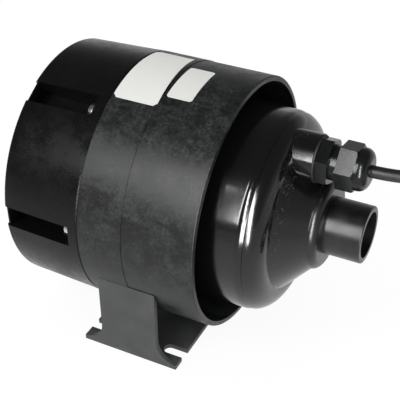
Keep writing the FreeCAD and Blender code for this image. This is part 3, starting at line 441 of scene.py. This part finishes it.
def bellFinish(settings):
    # glossy black moulding with a slight orange peel, and dust in the crease before the cone
    graph = newGraph("glossyBell")
    peel = graph.noise(settings["peelScale"], 2.0, 0.5)
    wave = graph.noise(settings["waveScale"], 2.0, 0.5)
    along = graph.add("SeparateXYZ", {}, {"Vector": graph.place()}, out="X")
    low, high = settings["crease"]
    before = graph.band(along, low - settings["creaseFade"], low)
    after = graph.band(along, high + settings["creaseFade"], high)
    patch = graph.band(graph.noise(settings["patchScale"], 3.0, 0.6), *settings["patchBand"])
    specks = graph.specks(settings["speckScale"], settings["speckSize"]) * before * after * patch
    loose = graph.specks(settings["looseScale"], settings["looseSize"])
    tube = graph.band(along, *settings["tube"])
    cloud = graph.band(graph.noise(settings["cloudScale"], 4.0, 0.6), *settings["cloudBand"])
    film = tube * cloud
    dull = graph.mix(film * settings["filmShare"], settings["base"], settings["film"])
    dusty = specks * settings["speckShare"] + loose * settings["looseShare"]
    rough = (settings["roughness"] + wave * settings["rougherWave"]
             + specks * settings["rougherSpecks"] + tube * settings["rougherTube"]
             + film * settings["rougherFilm"])
    relief = graph.bump(peel, settings["peelStrength"], settings["peelDepth"])
    return graph.surface(graph.mix(dusty, dull, settings["dust"]), rough, normal=relief,
                         specular=settings["specular"])


nylonSettings = {
    "dark": colour(0.008, (0.92, 1.0, 1.03)),
    "light": colour(0.015, (0.92, 1.0, 1.03)),
    "roughness": 0.17,
    "rougher": 0.10,
    "specular": 0.30,
    "cloudScale": 220.0,
    "grainScale": 2200.0,
    "grainStrength": 0.35,
    "grainDepth": 0.00002,
}
footSettings = {
    "dark": colour(0.060, (0.97, 1.0, 1.01)),
    "light": colour(0.086, (0.97, 1.0, 0.99)),
    "wornBand": (0.35, 0.7),
    "roughness": 0.46,
    "rougher": 0.12,
    "cloudScale": 45.0,
    "grainScale": 1700.0,
    "grainStrength": 0.5,
    "grainDepth": 0.00004,
}
filmSettings = {
    "cloudScale": 60.0,
    "tints": ((1.0, 1.0, 0.95), (1.0, 1.0, 0.97)),
    "lighter": 1.06,
    "roughness": 0.33,
    "rougher": 0.10,
}
metalSettings = {
    "smoother": 0.06,              # taken off the roughness before the pattern adds to it
    "rougher": 0.14,
    "strength": 0.25,
    "depth": 0.00004,
}
softSettings = {
    "band": (0.35, 0.7),
    "smoother": 0.05,
    "rougher": 0.1,
    "strength": 0.6,
}
foamSettings = {
    "cellScale": 650.0,
    "poreBand": (0.15, 0.55),
    # painted shade in the pores
    "dark": colour(0.012),
    "light": colour(0.055),
    "roughness": 0.9,
    "strength": 0.9,
    "depth": 0.0006,
}
laminationSettings = {
    "sheet": 0.0005,
    "steel": colour(0.30),
    "rust": (0.17, 0.13, 0.10, 1.0),
    "rustScale": 120.0,
    "rustBand": (0.55, 0.75),
    "roughness": 0.42,
    "rougher": 0.1,
    "strength": 0.4,
    "depth": 0.00005,
}
windingSettings = {
    "dark": (0.42, 0.14, 0.055, 1.0),
    "light": (0.62, 0.26, 0.11, 1.0),
    "strandScale": 900.0,
    "stretch": (0.15, 1.0, 1.0),
    "roughness": 0.25,
    "rougher": 0.15,
    "strength": 0.8,
    "depth": 0.0002,
}
jacketSettings = {
    "dark": colour(0.012),
    "light": colour(0.022),
    "cloudScale": 500.0,
    "roughness": 0.34,
    "rougher": 0.10,
    "strength": 0.3,
    "depth": 0.00004,
}


def nylonFinish(settings):
    # the gland's satin nylon
    graph = newGraph("glandNylon")
    cloud = graph.noise(settings["cloudScale"], 3.0, 0.55)
    grain = graph.noise(settings["grainScale"], 2.0, 0.5)
    relief = graph.bump(grain, settings["grainStrength"], settings["grainDepth"])
    return graph.surface(graph.mix(cloud, settings["dark"], settings["light"]),
                         settings["roughness"] + cloud * settings["rougher"], normal=relief,
                         specular=settings["specular"])


def footFinish(settings):
    # grey moulded sheet, slightly worn along its faces
    graph = newGraph("footSheet")
    cloud = graph.noise(settings["cloudScale"], 4.0, 0.6)
    grain = graph.noise(settings["grainScale"], 2.0, 0.6)
    worn = graph.band(cloud, *settings["wornBand"])
    relief = graph.bump(grain, settings["grainStrength"], settings["grainDepth"])
    return graph.surface(graph.mix(worn, settings["dark"], settings["light"]),
                         settings["roughness"] + cloud * settings["rougher"], normal=relief)


def panelFinish(name, level, settings):
    # blank vinyl film
    graph = newGraph(name)
    cloud = graph.noise(settings["cloudScale"], 3.0, 0.5)
    first, second = settings["tints"]
    shade = graph.mix(cloud, colour(level, first), colour(level * settings["lighter"], second))
    return graph.surface(shade, settings["roughness"] + cloud * settings["rougher"])


def metalFinish(name, base, dull, roughness, scale, stretch=(1.0, 1.0, 1.0)):
    graph = newGraph(name)
    cloud = graph.noise(scale, 4.0, 0.6, stretch)
    rough = roughness - metalSettings["smoother"] + cloud * metalSettings["rougher"]
    relief = graph.bump(cloud, metalSettings["strength"], metalSettings["depth"])
    return graph.surface(graph.mix(cloud, base, dull), rough, metallic=1.0, normal=relief)


def softFinish(name, base, light, roughness, scale, depth):
    # rubber and other soft or pressed stuff
    graph = newGraph(name)
    cloud = graph.noise(scale, 4.0, 0.65)
    shade = graph.mix(graph.band(cloud, *softSettings["band"]), base, light)
    rough = roughness - softSettings["smoother"] + cloud * softSettings["rougher"]
    return graph.surface(shade, rough, normal=graph.bump(cloud, softSettings["strength"], depth))


def foamFinish(settings):
    # open-cell foam, with pores sunk by the bump and painted dark as shade in the holes
    graph = newGraph("silencerFoam")
    cells = graph.add("TexVoronoi", {}, {"Vector": graph.place(), "Scale": settings["cellScale"]})
    poresAndShade = graph.band(cells, *settings["poreBand"])
    relief = graph.bump(1.0 - poresAndShade, settings["strength"], settings["depth"])
    return graph.surface(graph.mix(poresAndShade, settings["light"], settings["dark"]),
                         settings["roughness"], normal=relief)


def laminationFinish(settings):
    # stacked steel sheets
    graph = newGraph("laminations")
    along = graph.add("SeparateXYZ", {}, {"Vector": graph.place()}, out="X")
    wave = graph.add("Math", {"operation": "SINE"},
                     {0: along * (2.0 * math.pi / settings["sheet"])})
    rust = graph.noise(settings["rustScale"], 4.0, 0.6)
    shade = graph.mix(graph.band(rust, *settings["rustBand"]), settings["steel"],
                      settings["rust"])
    relief = graph.bump(wave, settings["strength"], settings["depth"])
    return graph.surface(shade, settings["roughness"] + rust * settings["rougher"],
                         metallic=1.0, normal=relief)


def windingFinish(settings):
    # varnished copper wire
    graph = newGraph("varnishedCopper")
    strands = graph.noise(settings["strandScale"], 2.0, 0.4, settings["stretch"])
    relief = graph.bump(strands, settings["strength"], settings["depth"])
    return graph.surface(graph.mix(strands, settings["dark"], settings["light"]),
                         settings["roughness"] + strands * settings["rougher"],
                         metallic=1.0, normal=relief)


def cordFinish(settings):
    # round rubber-like jacket with a dull sheen
    graph = newGraph("cordJacket")
    cloud = graph.noise(settings["cloudScale"], 3.0, 0.5)
    relief = graph.bump(cloud, settings["strength"], settings["depth"])
    return graph.surface(graph.mix(cloud, settings["dark"], settings["light"]),
                         settings["roughness"] + cloud * settings["rougher"], normal=relief)


finishes = {
    "casing_black": casingFinish("satinCasing", casingSettings, mottleSettings),
    "cap_black": casingFinish("smoothCap", capSettings, mottleSettings),
    "bell_black": bellFinish(bellSettings),
    "gland_black": nylonFinish(nylonSettings),
    "foot_grey": footFinish(footSettings),
    "zinc_steel": metalFinish("zincSteel", colour(0.52), colour(0.40), 0.34, 150.0),
    "screw_steel": metalFinish("screwSteel", colour(0.72), colour(0.55), 0.24, 700.0),
    "foam_grey": foamFinish(foamSettings),
    "gasket_rubber": softFinish("gasketRubber", colour(0.014), colour(0.024), 0.6, 400.0, 0.00005),
    "fan_aluminium": metalFinish("fanAluminium", colour(0.74), colour(0.62), 0.30, 90.0),
    "cast_aluminium": metalFinish("castAluminium", colour(0.58), colour(0.46), 0.46, 600.0),
    "lamination_steel": laminationFinish(laminationSettings),
    "shaft_steel": metalFinish("groundSteel", colour(0.66), colour(0.58), 0.20, 400.0,
                               (0.1, 1.0, 1.0)),
    "bearing_steel": metalFinish("bearingSteel", colour(0.60), colour(0.52), 0.18, 300.0),
    "copper_wire": windingFinish(windingSettings),
    "copper_bar": metalFinish("copperBars", (0.72, 0.32, 0.16, 1.0), (0.45, 0.19, 0.10, 1.0),
                              0.28, 500.0),
    "brass_part": metalFinish("pressedBrass", (0.62, 0.44, 0.16, 1.0), (0.50, 0.34, 0.13, 1.0),
                              0.30, 200.0),
    "carbon": softFinish("pressedCarbon", colour(0.030), colour(0.050), 0.55, 900.0, 0.00004),
    "spring_steel": metalFinish("springSteel", colour(0.50), colour(0.42), 0.30, 600.0),
    "cord_jacket": cordFinish(jacketSettings),
    "plug_black": softFinish("plugRubber", colour(0.012), colour(0.020), 0.42, 500.0, 0.00004),
    "pin_brass": metalFinish("pinBrass", (0.66, 0.47, 0.18, 1.0), (0.55, 0.38, 0.15, 1.0),
                             0.25, 300.0),
}

slotOfNode = {
    "sleeve": "casing_black", "rear_cap": "casing_black", "cap_screws": "screw_steel",
    "foam_silencer": "foam_grey", "fan_support_plate": "zinc_steel",
    "bell_housing": "bell_black", "gland_washer": "gasket_rubber", "gland_body": "gland_black",
    "gland_seal": "gasket_rubber", "gland_nut": "gland_black", "mounting_foot": "foot_grey",
    "inlet_gasket": "gasket_rubber", "fan_case": "zinc_steel", "fan": "fan_aluminium",
    "diffuser": "fan_aluminium", "rear_bracket": "cast_aluminium",
    "motor_gasket": "gasket_rubber", "stator_core": "lamination_steel",
    "field_coils": "copper_wire", "front_bracket": "cast_aluminium",
    "front_cushion": "gasket_rubber", "motor_bolts": "screw_steel",
    "rear_bearing": "bearing_steel", "front_bearing": "bearing_steel",
    "motor_shaft": "shaft_steel", "fan_nut": "zinc_steel", "fan_spacer": "brass_part",
    "armature_core": "lamination_steel", "armature_windings": "copper_wire",
    "commutator": "copper_bar", "upper_brush": "carbon", "upper_brush_holder": "brass_part",
    "lower_brush": "carbon", "lower_brush_holder": "brass_part",
    "upper_brush_spring": "spring_steel", "lower_brush_spring": "spring_steel",
    "cord": "cord_jacket", "cord_coil": "cord_jacket", "plug": "plug_black",
    "plug_pins": "pin_brass",
}
ownFinish = {"rear_cap": "cap_black"}      # pieces whose finish differs from their slot's
for nodeName, slotName in slotOfNode.items():
    painted(nodes[nodeName], finishes[ownFinish.get(nodeName, slotName)])
print("finishes made")


plugSettings = {
    "start": (0.2400, 0.0565, 0.0072),
    "reliefLength": 0.0180,
    "reliefStart": 0.0043,
    "reliefEnd": 0.0060,
    "coreInset": (0.0004, 0.0010),     # how far the core lies inside the rings, at its two ends
    "rings": 5,
    "ringShare": 0.6,
    "ringEdge": 0.0004,
    "gripLength": 0.0270,
    "gripHalfWidth": 0.0104,
    "gripHalfHeight": 0.0071,
    "taper": (1.0, 0.80, 0.92),        # of the grip's end by the cord
    "edge": 0.0026,
    "ribs": 4,                         # on each side
    "ribStart": 0.32,                  # shares of the grip's length
    "ribPitch": 0.13,
    "ribInset": 0.0010,
    "ribSize": (0.0016, 0.0024),
    "ribHeight": 1.1,                  # against the grip's half height
    "ribEdge": 0.0005,
    "sides": 40,
    "smooth": 35.0,
}


def makePlug(settings):
    x, y, z = settings["start"]
    reliefStart, reliefEnd = settings["reliefStart"], settings["reliefEnd"]
    startInset, endInset = settings["coreInset"]
    bpy.ops.mesh.primitive_cone_add(
        vertices=settings["sides"], radius1=reliefStart - startInset,
        radius2=reliefEnd - endInset, depth=settings["reliefLength"],
        location=(x + settings["reliefLength"] / 2.0, y, z), rotation=alongX)
    parts = [bpy.context.object]
    pitch = settings["reliefLength"] / settings["rings"]
    for i in range(settings["rings"]):
        share = (i + 0.5) / settings["rings"]
        bpy.ops.mesh.primitive_cylinder_add(
            vertices=settings["sides"], radius=reliefStart + share * (reliefEnd - reliefStart),
            depth=pitch * settings["ringShare"], location=(x + pitch * (i + 0.5), y, z),
            rotation=alongX)
        ring = bpy.context.object
        addModifier(ring, "BEVEL", width=settings["ringEdge"], segments=2, limit_method="ANGLE")
        parts.append(ring)
    gripStart = x + settings["reliefLength"]
    bpy.ops.mesh.primitive_cube_add(
        size=1.0, location=(gripStart + settings["gripLength"] / 2.0, y, z))
    grip = bpy.context.object
    grip.scale = (settings["gripLength"], 2.0 * settings["gripHalfWidth"],
                  2.0 * settings["gripHalfHeight"])
    placeInMesh(grip)
    pickRearFaces(grip)
    bpy.ops.transform.resize(value=settings["taper"])
    leaveEdit()
    addModifier(grip, "BEVEL", width=settings["edge"], segments=4, limit_method="ANGLE")
    parts.append(grip)
    ribX = gripStart + settings["gripLength"] * settings["ribStart"]
    aside = settings["gripHalfWidth"] - settings["ribInset"]
    bpy.ops.mesh.primitive_cube_add(size=1.0, location=(ribX, y - aside, z))
    rib = bpy.context.object
    rib.scale = (*settings["ribSize"], settings["gripHalfHeight"] * settings["ribHeight"])
    placeInMesh(rib)
    addModifier(rib, "BEVEL", width=settings["ribEdge"], segments=2, limit_method="ANGLE")
    parts.append(rib)
    for number in range(1, 2 * settings["ribs"]):
        side, place = divmod(number, settings["ribs"])
        along = settings["gripLength"] * settings["ribPitch"] * place
        parts.append(copied(rib, Matrix.Translation((along, 2.0 * aside * side, 0.0))))
    plug = joined("mainsPlug", parts)
    placeInMesh(plug)
    smoothByAngle(plug, settings["smooth"])
    painted(plug, finishes["plug_black"])
    return onHousing(plug, "plug_black", "plug")


cord = makeCord(cordSettings)
cord.data.materials.append(finishes["cord_jacket"])
onHousing(cord, "cord_jacket", "cord", "cord_coil")
plug = makePlug(plugSettings)
print("cord and plug made")


mouldingSettings = {
    "sleeve": {"name": "sleeveMoulding", "angle": 25.0},
    "rear_cap": {"name": "capMoulding", "angle": 25.0},
    "bell_housing": {"name": "bellMoulding", "angle": 25.0},
    "gland_washer": {"name": "glandWasher", "angle": 30.0},
    "gland_body": {"name": "glandStem", "angle": 25.0},
    "gland_nut": {"name": "glandNut", "angle": 25.0},
    "mounting_foot": {"name": "bentFoot", "angle": 30.0, "edge": 0.0005},
}
mendSettings = {
    "weld": 0.000005,
    "flat": 1.0,                   # degrees under which faces are one flat face
    "sharp": 40.0,                 # degrees over which an edge is rounded
}


def makeMoulding(nodeName, settings):
    # a welded, smoothly shaded copy of a solid
    piece = bpy.data.objects.new(settings["name"], nodes[nodeName].data.copy())
    scene.collection.objects.link(piece)
    selectOnly(piece)
    bpy.ops.mesh.customdata_custom_splitnormals_clear()
    editAll(piece)
    bpy.ops.mesh.remove_doubles(threshold=mendSettings["weld"])
    leaveEdit()
    if "edge" in settings:
        addModifier(piece, "DECIMATE", decimate_type="DISSOLVE",
                    angle_limit=math.radians(mendSettings["flat"]))
        addModifier(piece, "BEVEL", width=settings["edge"], segments=3, limit_method="ANGLE",
                    angle_limit=math.radians(mendSettings["sharp"]))
        addModifier(piece, "TRIANGULATE")
    smoothByAngle(piece, settings["angle"])
    painted(piece, finishes[ownFinish.get(nodeName, slotOfNode[nodeName])])
    onHousing(piece, slotOfNode[nodeName], nodeName)


for nodeName, settings in mouldingSettings.items():
    makeMoulding(nodeName, settings)
print("mouldings made")


screwSettings = {
    "count": 6,
    "pitch": 0.0665,               # from the blower's axis to each screw's
    "seat": -0.0530,
    "tip": -0.0262,
    "headRadius": 0.0050,
    "headHeight": 0.0046,
    "headSides": 40,
    "headEdge": 0.00012,
    "headSharp": 50.0,             # degrees over which its edges are rounded
    "shankRadius": 0.0019,
    "shankSides": 24,
    "shankEdge": 0.0006,
    "crossReach": 0.0026,
    "crossWidth": 0.0009,
    "crossDepth": 0.0014,
    "crossPlace": 0.0010,          # beyond the head's flat
    "dome": ((0.045, 0.0005), (0.099, 0.0004), (0.180, 0.0002)),   # share of radius in, rise
    "smooth": 35.0,
}
webSettings = {
    "name": "channelWebs",
    "rear": -0.0956,
    "thickness": 0.0011,
    "inner": 0.0600,               # radii from the blower's axis
    "outer": 0.0723,
    "halfWidth": 0.0064,
    "rim": 0.0016,                 # round the dished middle
    "dish": 0.0004,
    "edge": 0.00015,
    "smooth": 30.0,
}


def roundAxis(name, piece, count):
    # repeats a piece made at the near side evenly round the blower's axis
    axis = Matrix.Translation((0.0, 0.0, axisHeight))
    pieces = [piece]
    for i in range(1, count):
        turn = Matrix.Rotation(2.0 * math.pi * i / count, 4, "X")
        pieces.append(copied(piece, axis @ turn @ axis.inverted()))
    return joined(name, pieces)


def makeScrews(settings):
    y = -settings["pitch"]
    shankLength = settings["tip"] - settings["seat"]
    bpy.ops.mesh.primitive_cylinder_add(
        vertices=settings["headSides"], radius=settings["headRadius"],
        depth=settings["headHeight"],
        location=(settings["seat"] - settings["headHeight"] / 2.0, y, axisHeight),
        rotation=alongX)
    head = bpy.context.object
    placeInMesh(head)
    pickRearFaces(head)
    for share, rise in settings["dome"]:
        bpy.ops.mesh.inset(thickness=settings["headRadius"] * share)
        bpy.ops.transform.translate(value=(-rise, 0.0, 0.0))
    leaveEdit()
    crossX = settings["seat"] - settings["headHeight"] - settings["crossPlace"]
    for turned in (0.0, math.pi / 2.0):
        bpy.ops.mesh.primitive_cube_add(size=1.0, location=(crossX, y, axisHeight),
                                        rotation=(turned, 0.0, 0.0))
        blade = bpy.context.object
        blade.scale = (2.0 * settings["crossDepth"], 2.0 * settings["crossReach"],
                       settings["crossWidth"])
        placeInMesh(blade)
        addModifier(head, "BOOLEAN", operation="DIFFERENCE", object=blade, solver="EXACT")
        bpy.data.objects.remove(blade)
    addModifier(head, "BEVEL", width=settings["headEdge"], segments=2, limit_method="ANGLE",
                angle_limit=math.radians(settings["headSharp"]))
    bpy.ops.mesh.primitive_cylinder_add(
        vertices=settings["shankSides"], radius=settings["shankRadius"], depth=shankLength,
        location=((settings["seat"] + settings["tip"]) / 2.0, y, axisHeight), rotation=alongX)
    shank = bpy.context.object
    addModifier(shank, "BEVEL", width=settings["shankEdge"], segments=2, limit_method="ANGLE")
    screw = joined("capScrew", [head, shank])
    screws = roundAxis("capScrews", screw, settings["count"])
    smoothByAngle(screws, settings["smooth"])
    painted(screws, finishes["screw_steel"])
    onHousing(screws, "screw_steel", "cap_screws")


def makeWebs(settings):
    # thin walls that close the channels at the cap's rear edge
    bpy.ops.mesh.primitive_cube_add(
        size=1.0, location=(settings["rear"] + settings["thickness"] / 2.0,
                            -(settings["inner"] + settings["outer"]) / 2.0, axisHeight))
    web = bpy.context.object
    web.scale = (settings["thickness"], settings["outer"] - settings["inner"],
                 2.0 * settings["halfWidth"])
    placeInMesh(web)
    pickRearFaces(web)
    bpy.ops.mesh.inset(thickness=settings["rim"])
    bpy.ops.transform.translate(value=(settings["dish"], 0.0, 0.0))
    leaveEdit()
    addModifier(web, "BEVEL", width=settings["edge"], segments=2, limit_method="ANGLE")
    webs = roundAxis(settings["name"], web, screwSettings["count"])
    smoothByAngle(webs, settings["smooth"])
    painted(webs, finishes["cap_black"])
    onHousing(webs, "casing_black")


makeScrews(screwSettings)
makeWebs(webSettings)
print("screws and webs made")


# a corner is cut by planes round a point that lies "corner" in from both edges, at "reach" from it
panelSettings = {
    "wide": {
        "name": "widePanel", "level": 0.95, "radius": 0.07533, "thickness": 0.00018,
        "rear": -0.0703, "front": -0.0430, "angles": (24.0, -17.0), "steps": 36,
        "corner": 0.0022, "cuts": 1, "reach": 0.00154, "slant": 0.0035, "smooth": 30.0},
    "small": {
        "name": "smallPanel", "level": 0.93, "radius": 0.07503, "thickness": 0.00018,
        "rear": -0.0413, "front": -0.0259, "angles": (17.5, -6.0), "steps": 36,
        "corner": 0.0018, "cuts": 3, "reach": 0.0018, "slant": 0.0, "smooth": 30.0},
}


def makePanel(settings):
    # one edge spun about the axis, its corners cut back, then given the film's thickness
    radius = settings["radius"]
    first, last = [math.radians(a) for a in settings["angles"]]
    rear = rimX + settings["rear"]
    front = rimX + settings["front"]
    bpy.ops.mesh.primitive_plane_add(size=1.0, location=(0.0, 0.0, 0.0))
    panel = bpy.context.object
    panel.name = settings["name"]
    placeInMesh(panel)
    editNone(panel)
    bpy.ops.mesh.select_mode(type="VERT")
    leaveEdit()
    for vertex in panel.data.vertices:
        vertex.select = vertex.co.y > 0.0
    bpy.ops.object.mode_set(mode="EDIT")
    bpy.ops.mesh.delete(type="VERT")
    bpy.ops.mesh.select_all(action="SELECT")
    bpy.ops.transform.resize(value=(front - rear, 1.0, 1.0))
    start = Vector(((front + rear) / 2.0, -radius * math.sin(first),
                    axisHeight + radius * math.cos(first)))
    edgeLeft = Vector((0.0, -0.5, 0.0))
    bpy.ops.transform.translate(value=start - edgeLeft)
    bpy.ops.mesh.spin(steps=settings["steps"], angle=first - last, center=(0.0, 0.0, axisHeight),
                      axis=(1.0, 0.0, 0.0))
    corners = [(x, a) for x in (rear, front) for a in (first, last)]
    for x, a in corners:
        inwardX = Vector((1.0 if x == rear else -1.0, 0.0, 0.0))
        inwardA = Vector((0.0, -math.cos(a), -math.sin(a))) * (-1.0 if a == first else 1.0)
        corner = Vector((x, -radius * math.sin(a), axisHeight + radius * math.cos(a)))
        middle = corner + (inwardX + inwardA) * settings["corner"]
        for i in range(settings["cuts"]):
            lean = math.radians(90.0 * (i + 1) / (settings["cuts"] + 1))
            normal = -inwardX * math.cos(lean) - inwardA * math.sin(lean)
            bpy.ops.mesh.select_all(action="SELECT")
            bpy.ops.mesh.bisect(plane_co=middle + normal * settings["reach"], plane_no=normal,
                                clear_outer=True)
    if settings["slant"]:
        # the front edge runs back towards the far side
        alongEdge = radius * (first - last)
        normal = Vector((1.0, settings["slant"] / alongEdge, 0.0)).normalized()
        nearCorner = Vector((front, -radius * math.sin(first), axisHeight))
        bpy.ops.mesh.select_all(action="SELECT")
        bpy.ops.mesh.bisect(plane_co=nearCorner, plane_no=normal, clear_outer=True)
    leaveEdit()
    middleAngle = (first + last) / 2.0
    outward = Vector((0.0, -math.sin(middleAngle), math.cos(middleAngle)))
    if panel.data.polygons[len(panel.data.polygons) // 2].normal.dot(outward) < 0.0:
        editAll(panel)
        bpy.ops.mesh.flip_normals()
        leaveEdit()
    addModifier(panel, "SOLIDIFY", thickness=settings["thickness"], offset=1.0)
    smoothByAngle(panel, settings["smooth"])
    painted(panel, panelFinish(settings["name"] + "Film", settings["level"], filmSettings))
    onHousing(panel, "casing_black")


for settings in panelSettings.values():
    makePanel(settings)
print("panels made")


springSettings = {
    "x": 0.0378,
    "coil": 0.0022,
    "wire": 0.00035,
    "turns": 7,
    "stepsPerTurn": 24,
    "wireSides": 10,
    "weld": 0.000001,
    "smooth": 50.0,
    "brushEnd": 0.0270,            # from the axis
    "capEnd": 0.0400,
    "pressed": 0.54,
}


def makeSpring(settings, word, side):
    height = settings["capEnd"] - settings["brushEnd"] - 2.0 * settings["wire"]
    start = axisHeight + side * (settings["brushEnd"] + settings["wire"])
    steps = settings["stepsPerTurn"] * settings["turns"]
    bpy.ops.mesh.primitive_circle_add(vertices=settings["wireSides"], radius=settings["wire"],
                                      location=(settings["x"], 0.0, start),
                                      rotation=(math.pi / 2.0, 0.0, 0.0))
    spring = bpy.context.object
    spring.name = word + "BrushSpring"
    selectOnly(spring)
    bpy.ops.object.transform_apply(location=False, rotation=True, scale=False)
    editAll(spring)
    bpy.ops.transform.translate(value=(settings["coil"], 0.0, 0.0))
    leaveEdit()
    addModifier(spring, "SCREW", axis="Z", angle=2.0 * math.pi * settings["turns"],
                screw_offset=side * height, steps=steps, render_steps=steps)
    editNone(spring)
    bpy.ops.mesh.select_mode(type="EDGE")
    bpy.ops.mesh.select_non_manifold()
    bpy.ops.mesh.fill()
    bpy.ops.mesh.select_all(action="SELECT")
    bpy.ops.mesh.remove_doubles(threshold=settings["weld"])
    bpy.ops.mesh.normals_make_consistent(inside=False)
    leaveEdit()
    placeInMesh(spring)
    smoothByAngle(spring, settings["smooth"])
    painted(spring, finishes["spring_steel"])
    onHousing(spring, "spring_steel", word + "_brush_spring")
    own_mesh(spring)


makeSpring(springSettings, "upper", 1)
makeSpring(springSettings, "lower", -1)
print("springs made")


studioSettings = {
    "floorHalf": 4.0,
    "floorGlow": 0.88,             # share of the floor that the camera sees as plain white
    "glowStrength": 1.06,
    "mirroredGlow": 0.80,          # the same share as reflections see it
    "floorWhite": 0.93,            # the floor's own colour, which shadows fall on
    "ambient": 0.60,
    "tableReach": (0.40, 0.14),    # where the floor stops and starts to show in reflections
    "beyond": 0.2,                 # how much of it still shows past there
    "room": [                      # what is mirrored, from straight down to straight up
        (0.0, colour(1.0)), (0.50, colour(0.90)), (0.58, colour(0.42)),
        (0.72, colour(0.13)), (1.0, colour(0.07))],
    "front": [                     # the same towards the camera's side
        (0.0, colour(1.0)), (0.49, colour(0.60)), (0.52, colour(0.26)),
        (0.72, colour(0.13)), (1.0, colour(0.07))],
    "frontToRoom": (-0.40, 0.10),
    "softboxes": {
        "sleeveSoftbox": {"place": (-0.215, -0.410, 0.400), "wide": 0.14, "tall": 0.24,
                          "power": 0.9, "aim": (0.020, -0.045, 0.125), "card": False},
        "rightStrip": {"place": (0.350, -0.450, 0.300), "wide": 0.10, "tall": 0.62,
                       "power": 7.0, "aim": (0.045, -0.050, 0.300), "card": True},
        "leftStrip": {"place": (-0.045, -0.470, 0.460), "wide": 0.07, "tall": 0.54,
                      "power": 2.9, "aim": (0.085, -0.010, 0.460), "card": True},
    },
}


def makeFloor(settings):
    bpy.ops.mesh.primitive_plane_add(size=2.0 * settings["floorHalf"], location=(0.0, 0.0, 0.0))
    floor = bpy.context.object
    floor.name = "studioFloor"
    graph = newGraph("whiteFloor")
    seen = graph.add("LightPath", out="Is Camera Ray")
    mirrored = graph.add("LightPath", out="Is Glossy Ray")
    diffuse = graph.add("BsdfDiffuse", {}, {"Color": colour(settings["floorWhite"])})
    glow = graph.add("Emission", {}, {"Color": colour(1.0), "Strength": settings["glowStrength"]})
    far, near = settings["tableReach"]
    spot = graph.add("TexCoord", out="Object")
    away = graph.add("VectorMath", {"operation": "LENGTH"}, {0: spot}, out="Value")
    table = graph.band(away, far, near) * (1.0 - settings["beyond"]) + settings["beyond"]
    share = seen * settings["floorGlow"] + mirrored * settings["mirroredGlow"] * table
    both = graph.add("MixShader", {}, {0: share, 1: diffuse, 2: glow})
    graph.add("OutputMaterial", {}, {"Surface": both})
    painted(floor, graph.owner)


def makeWorld(settings):
    world = bpy.data.worlds.new("studioWorld")
    scene.world = world
    graph = Graph(world)
    seen = graph.add("LightPath", out="Is Camera Ray")
    glossy = graph.add("LightPath", out="Is Glossy Ray")
    through = graph.add("LightPath", out="Is Transmission Ray")
    direction = graph.add("TexCoord", out="Generated")
    north = graph.add("SeparateXYZ", {}, {"Vector": direction}, out="Y")
    height = graph.add("SeparateXYZ", {}, {"Vector": direction}, out="Z")
    level = height * 0.5 + 0.5
    room = graph.add("ValToRGB", {"stops": settings["room"]}, {"Fac": level})
    front = graph.add("ValToRGB", {"stops": settings["front"]}, {"Fac": level})
    lit = graph.mix(graph.band(north, *settings["frontToRoom"]), front, room)
    ambient = graph.mix(glossy, colour(settings["ambient"]), lit)
    clear = graph.add("Math", {"operation": "MAXIMUM"}, {0: seen, 1: through})
    shade = graph.mix(clear, ambient, colour(1.0))
    sky = graph.add("Background", {}, {"Color": shade, "Strength": 1.0})
    graph.add("OutputWorld", {}, {"Surface": sky})


def makeSoftbox(name, settings):
    data = bpy.data.lights.new(name, "AREA")
    data.shape = "RECTANGLE"
    data.size = settings["wide"]
    data.size_y = settings["tall"]
    data.energy = settings["power"]
    lamp = bpy.data.objects.new(name, data)
    scene.collection.objects.link(lamp)
    lamp.visible_camera = False
    lamp.visible_diffuse = not settings["card"]    # a card is only mirrored, and lights nothing
    toward = Vector(settings["place"]) - Vector(settings["aim"])
    lamp.location = settings["place"]
    lamp.rotation_euler = toward.to_track_quat("Z", "Y").to_euler()


makeFloor(studioSettings)
makeWorld(studioSettings)
for name, settings in studioSettings["softboxes"].items():
    makeSoftbox(name, settings)
print("studio made")
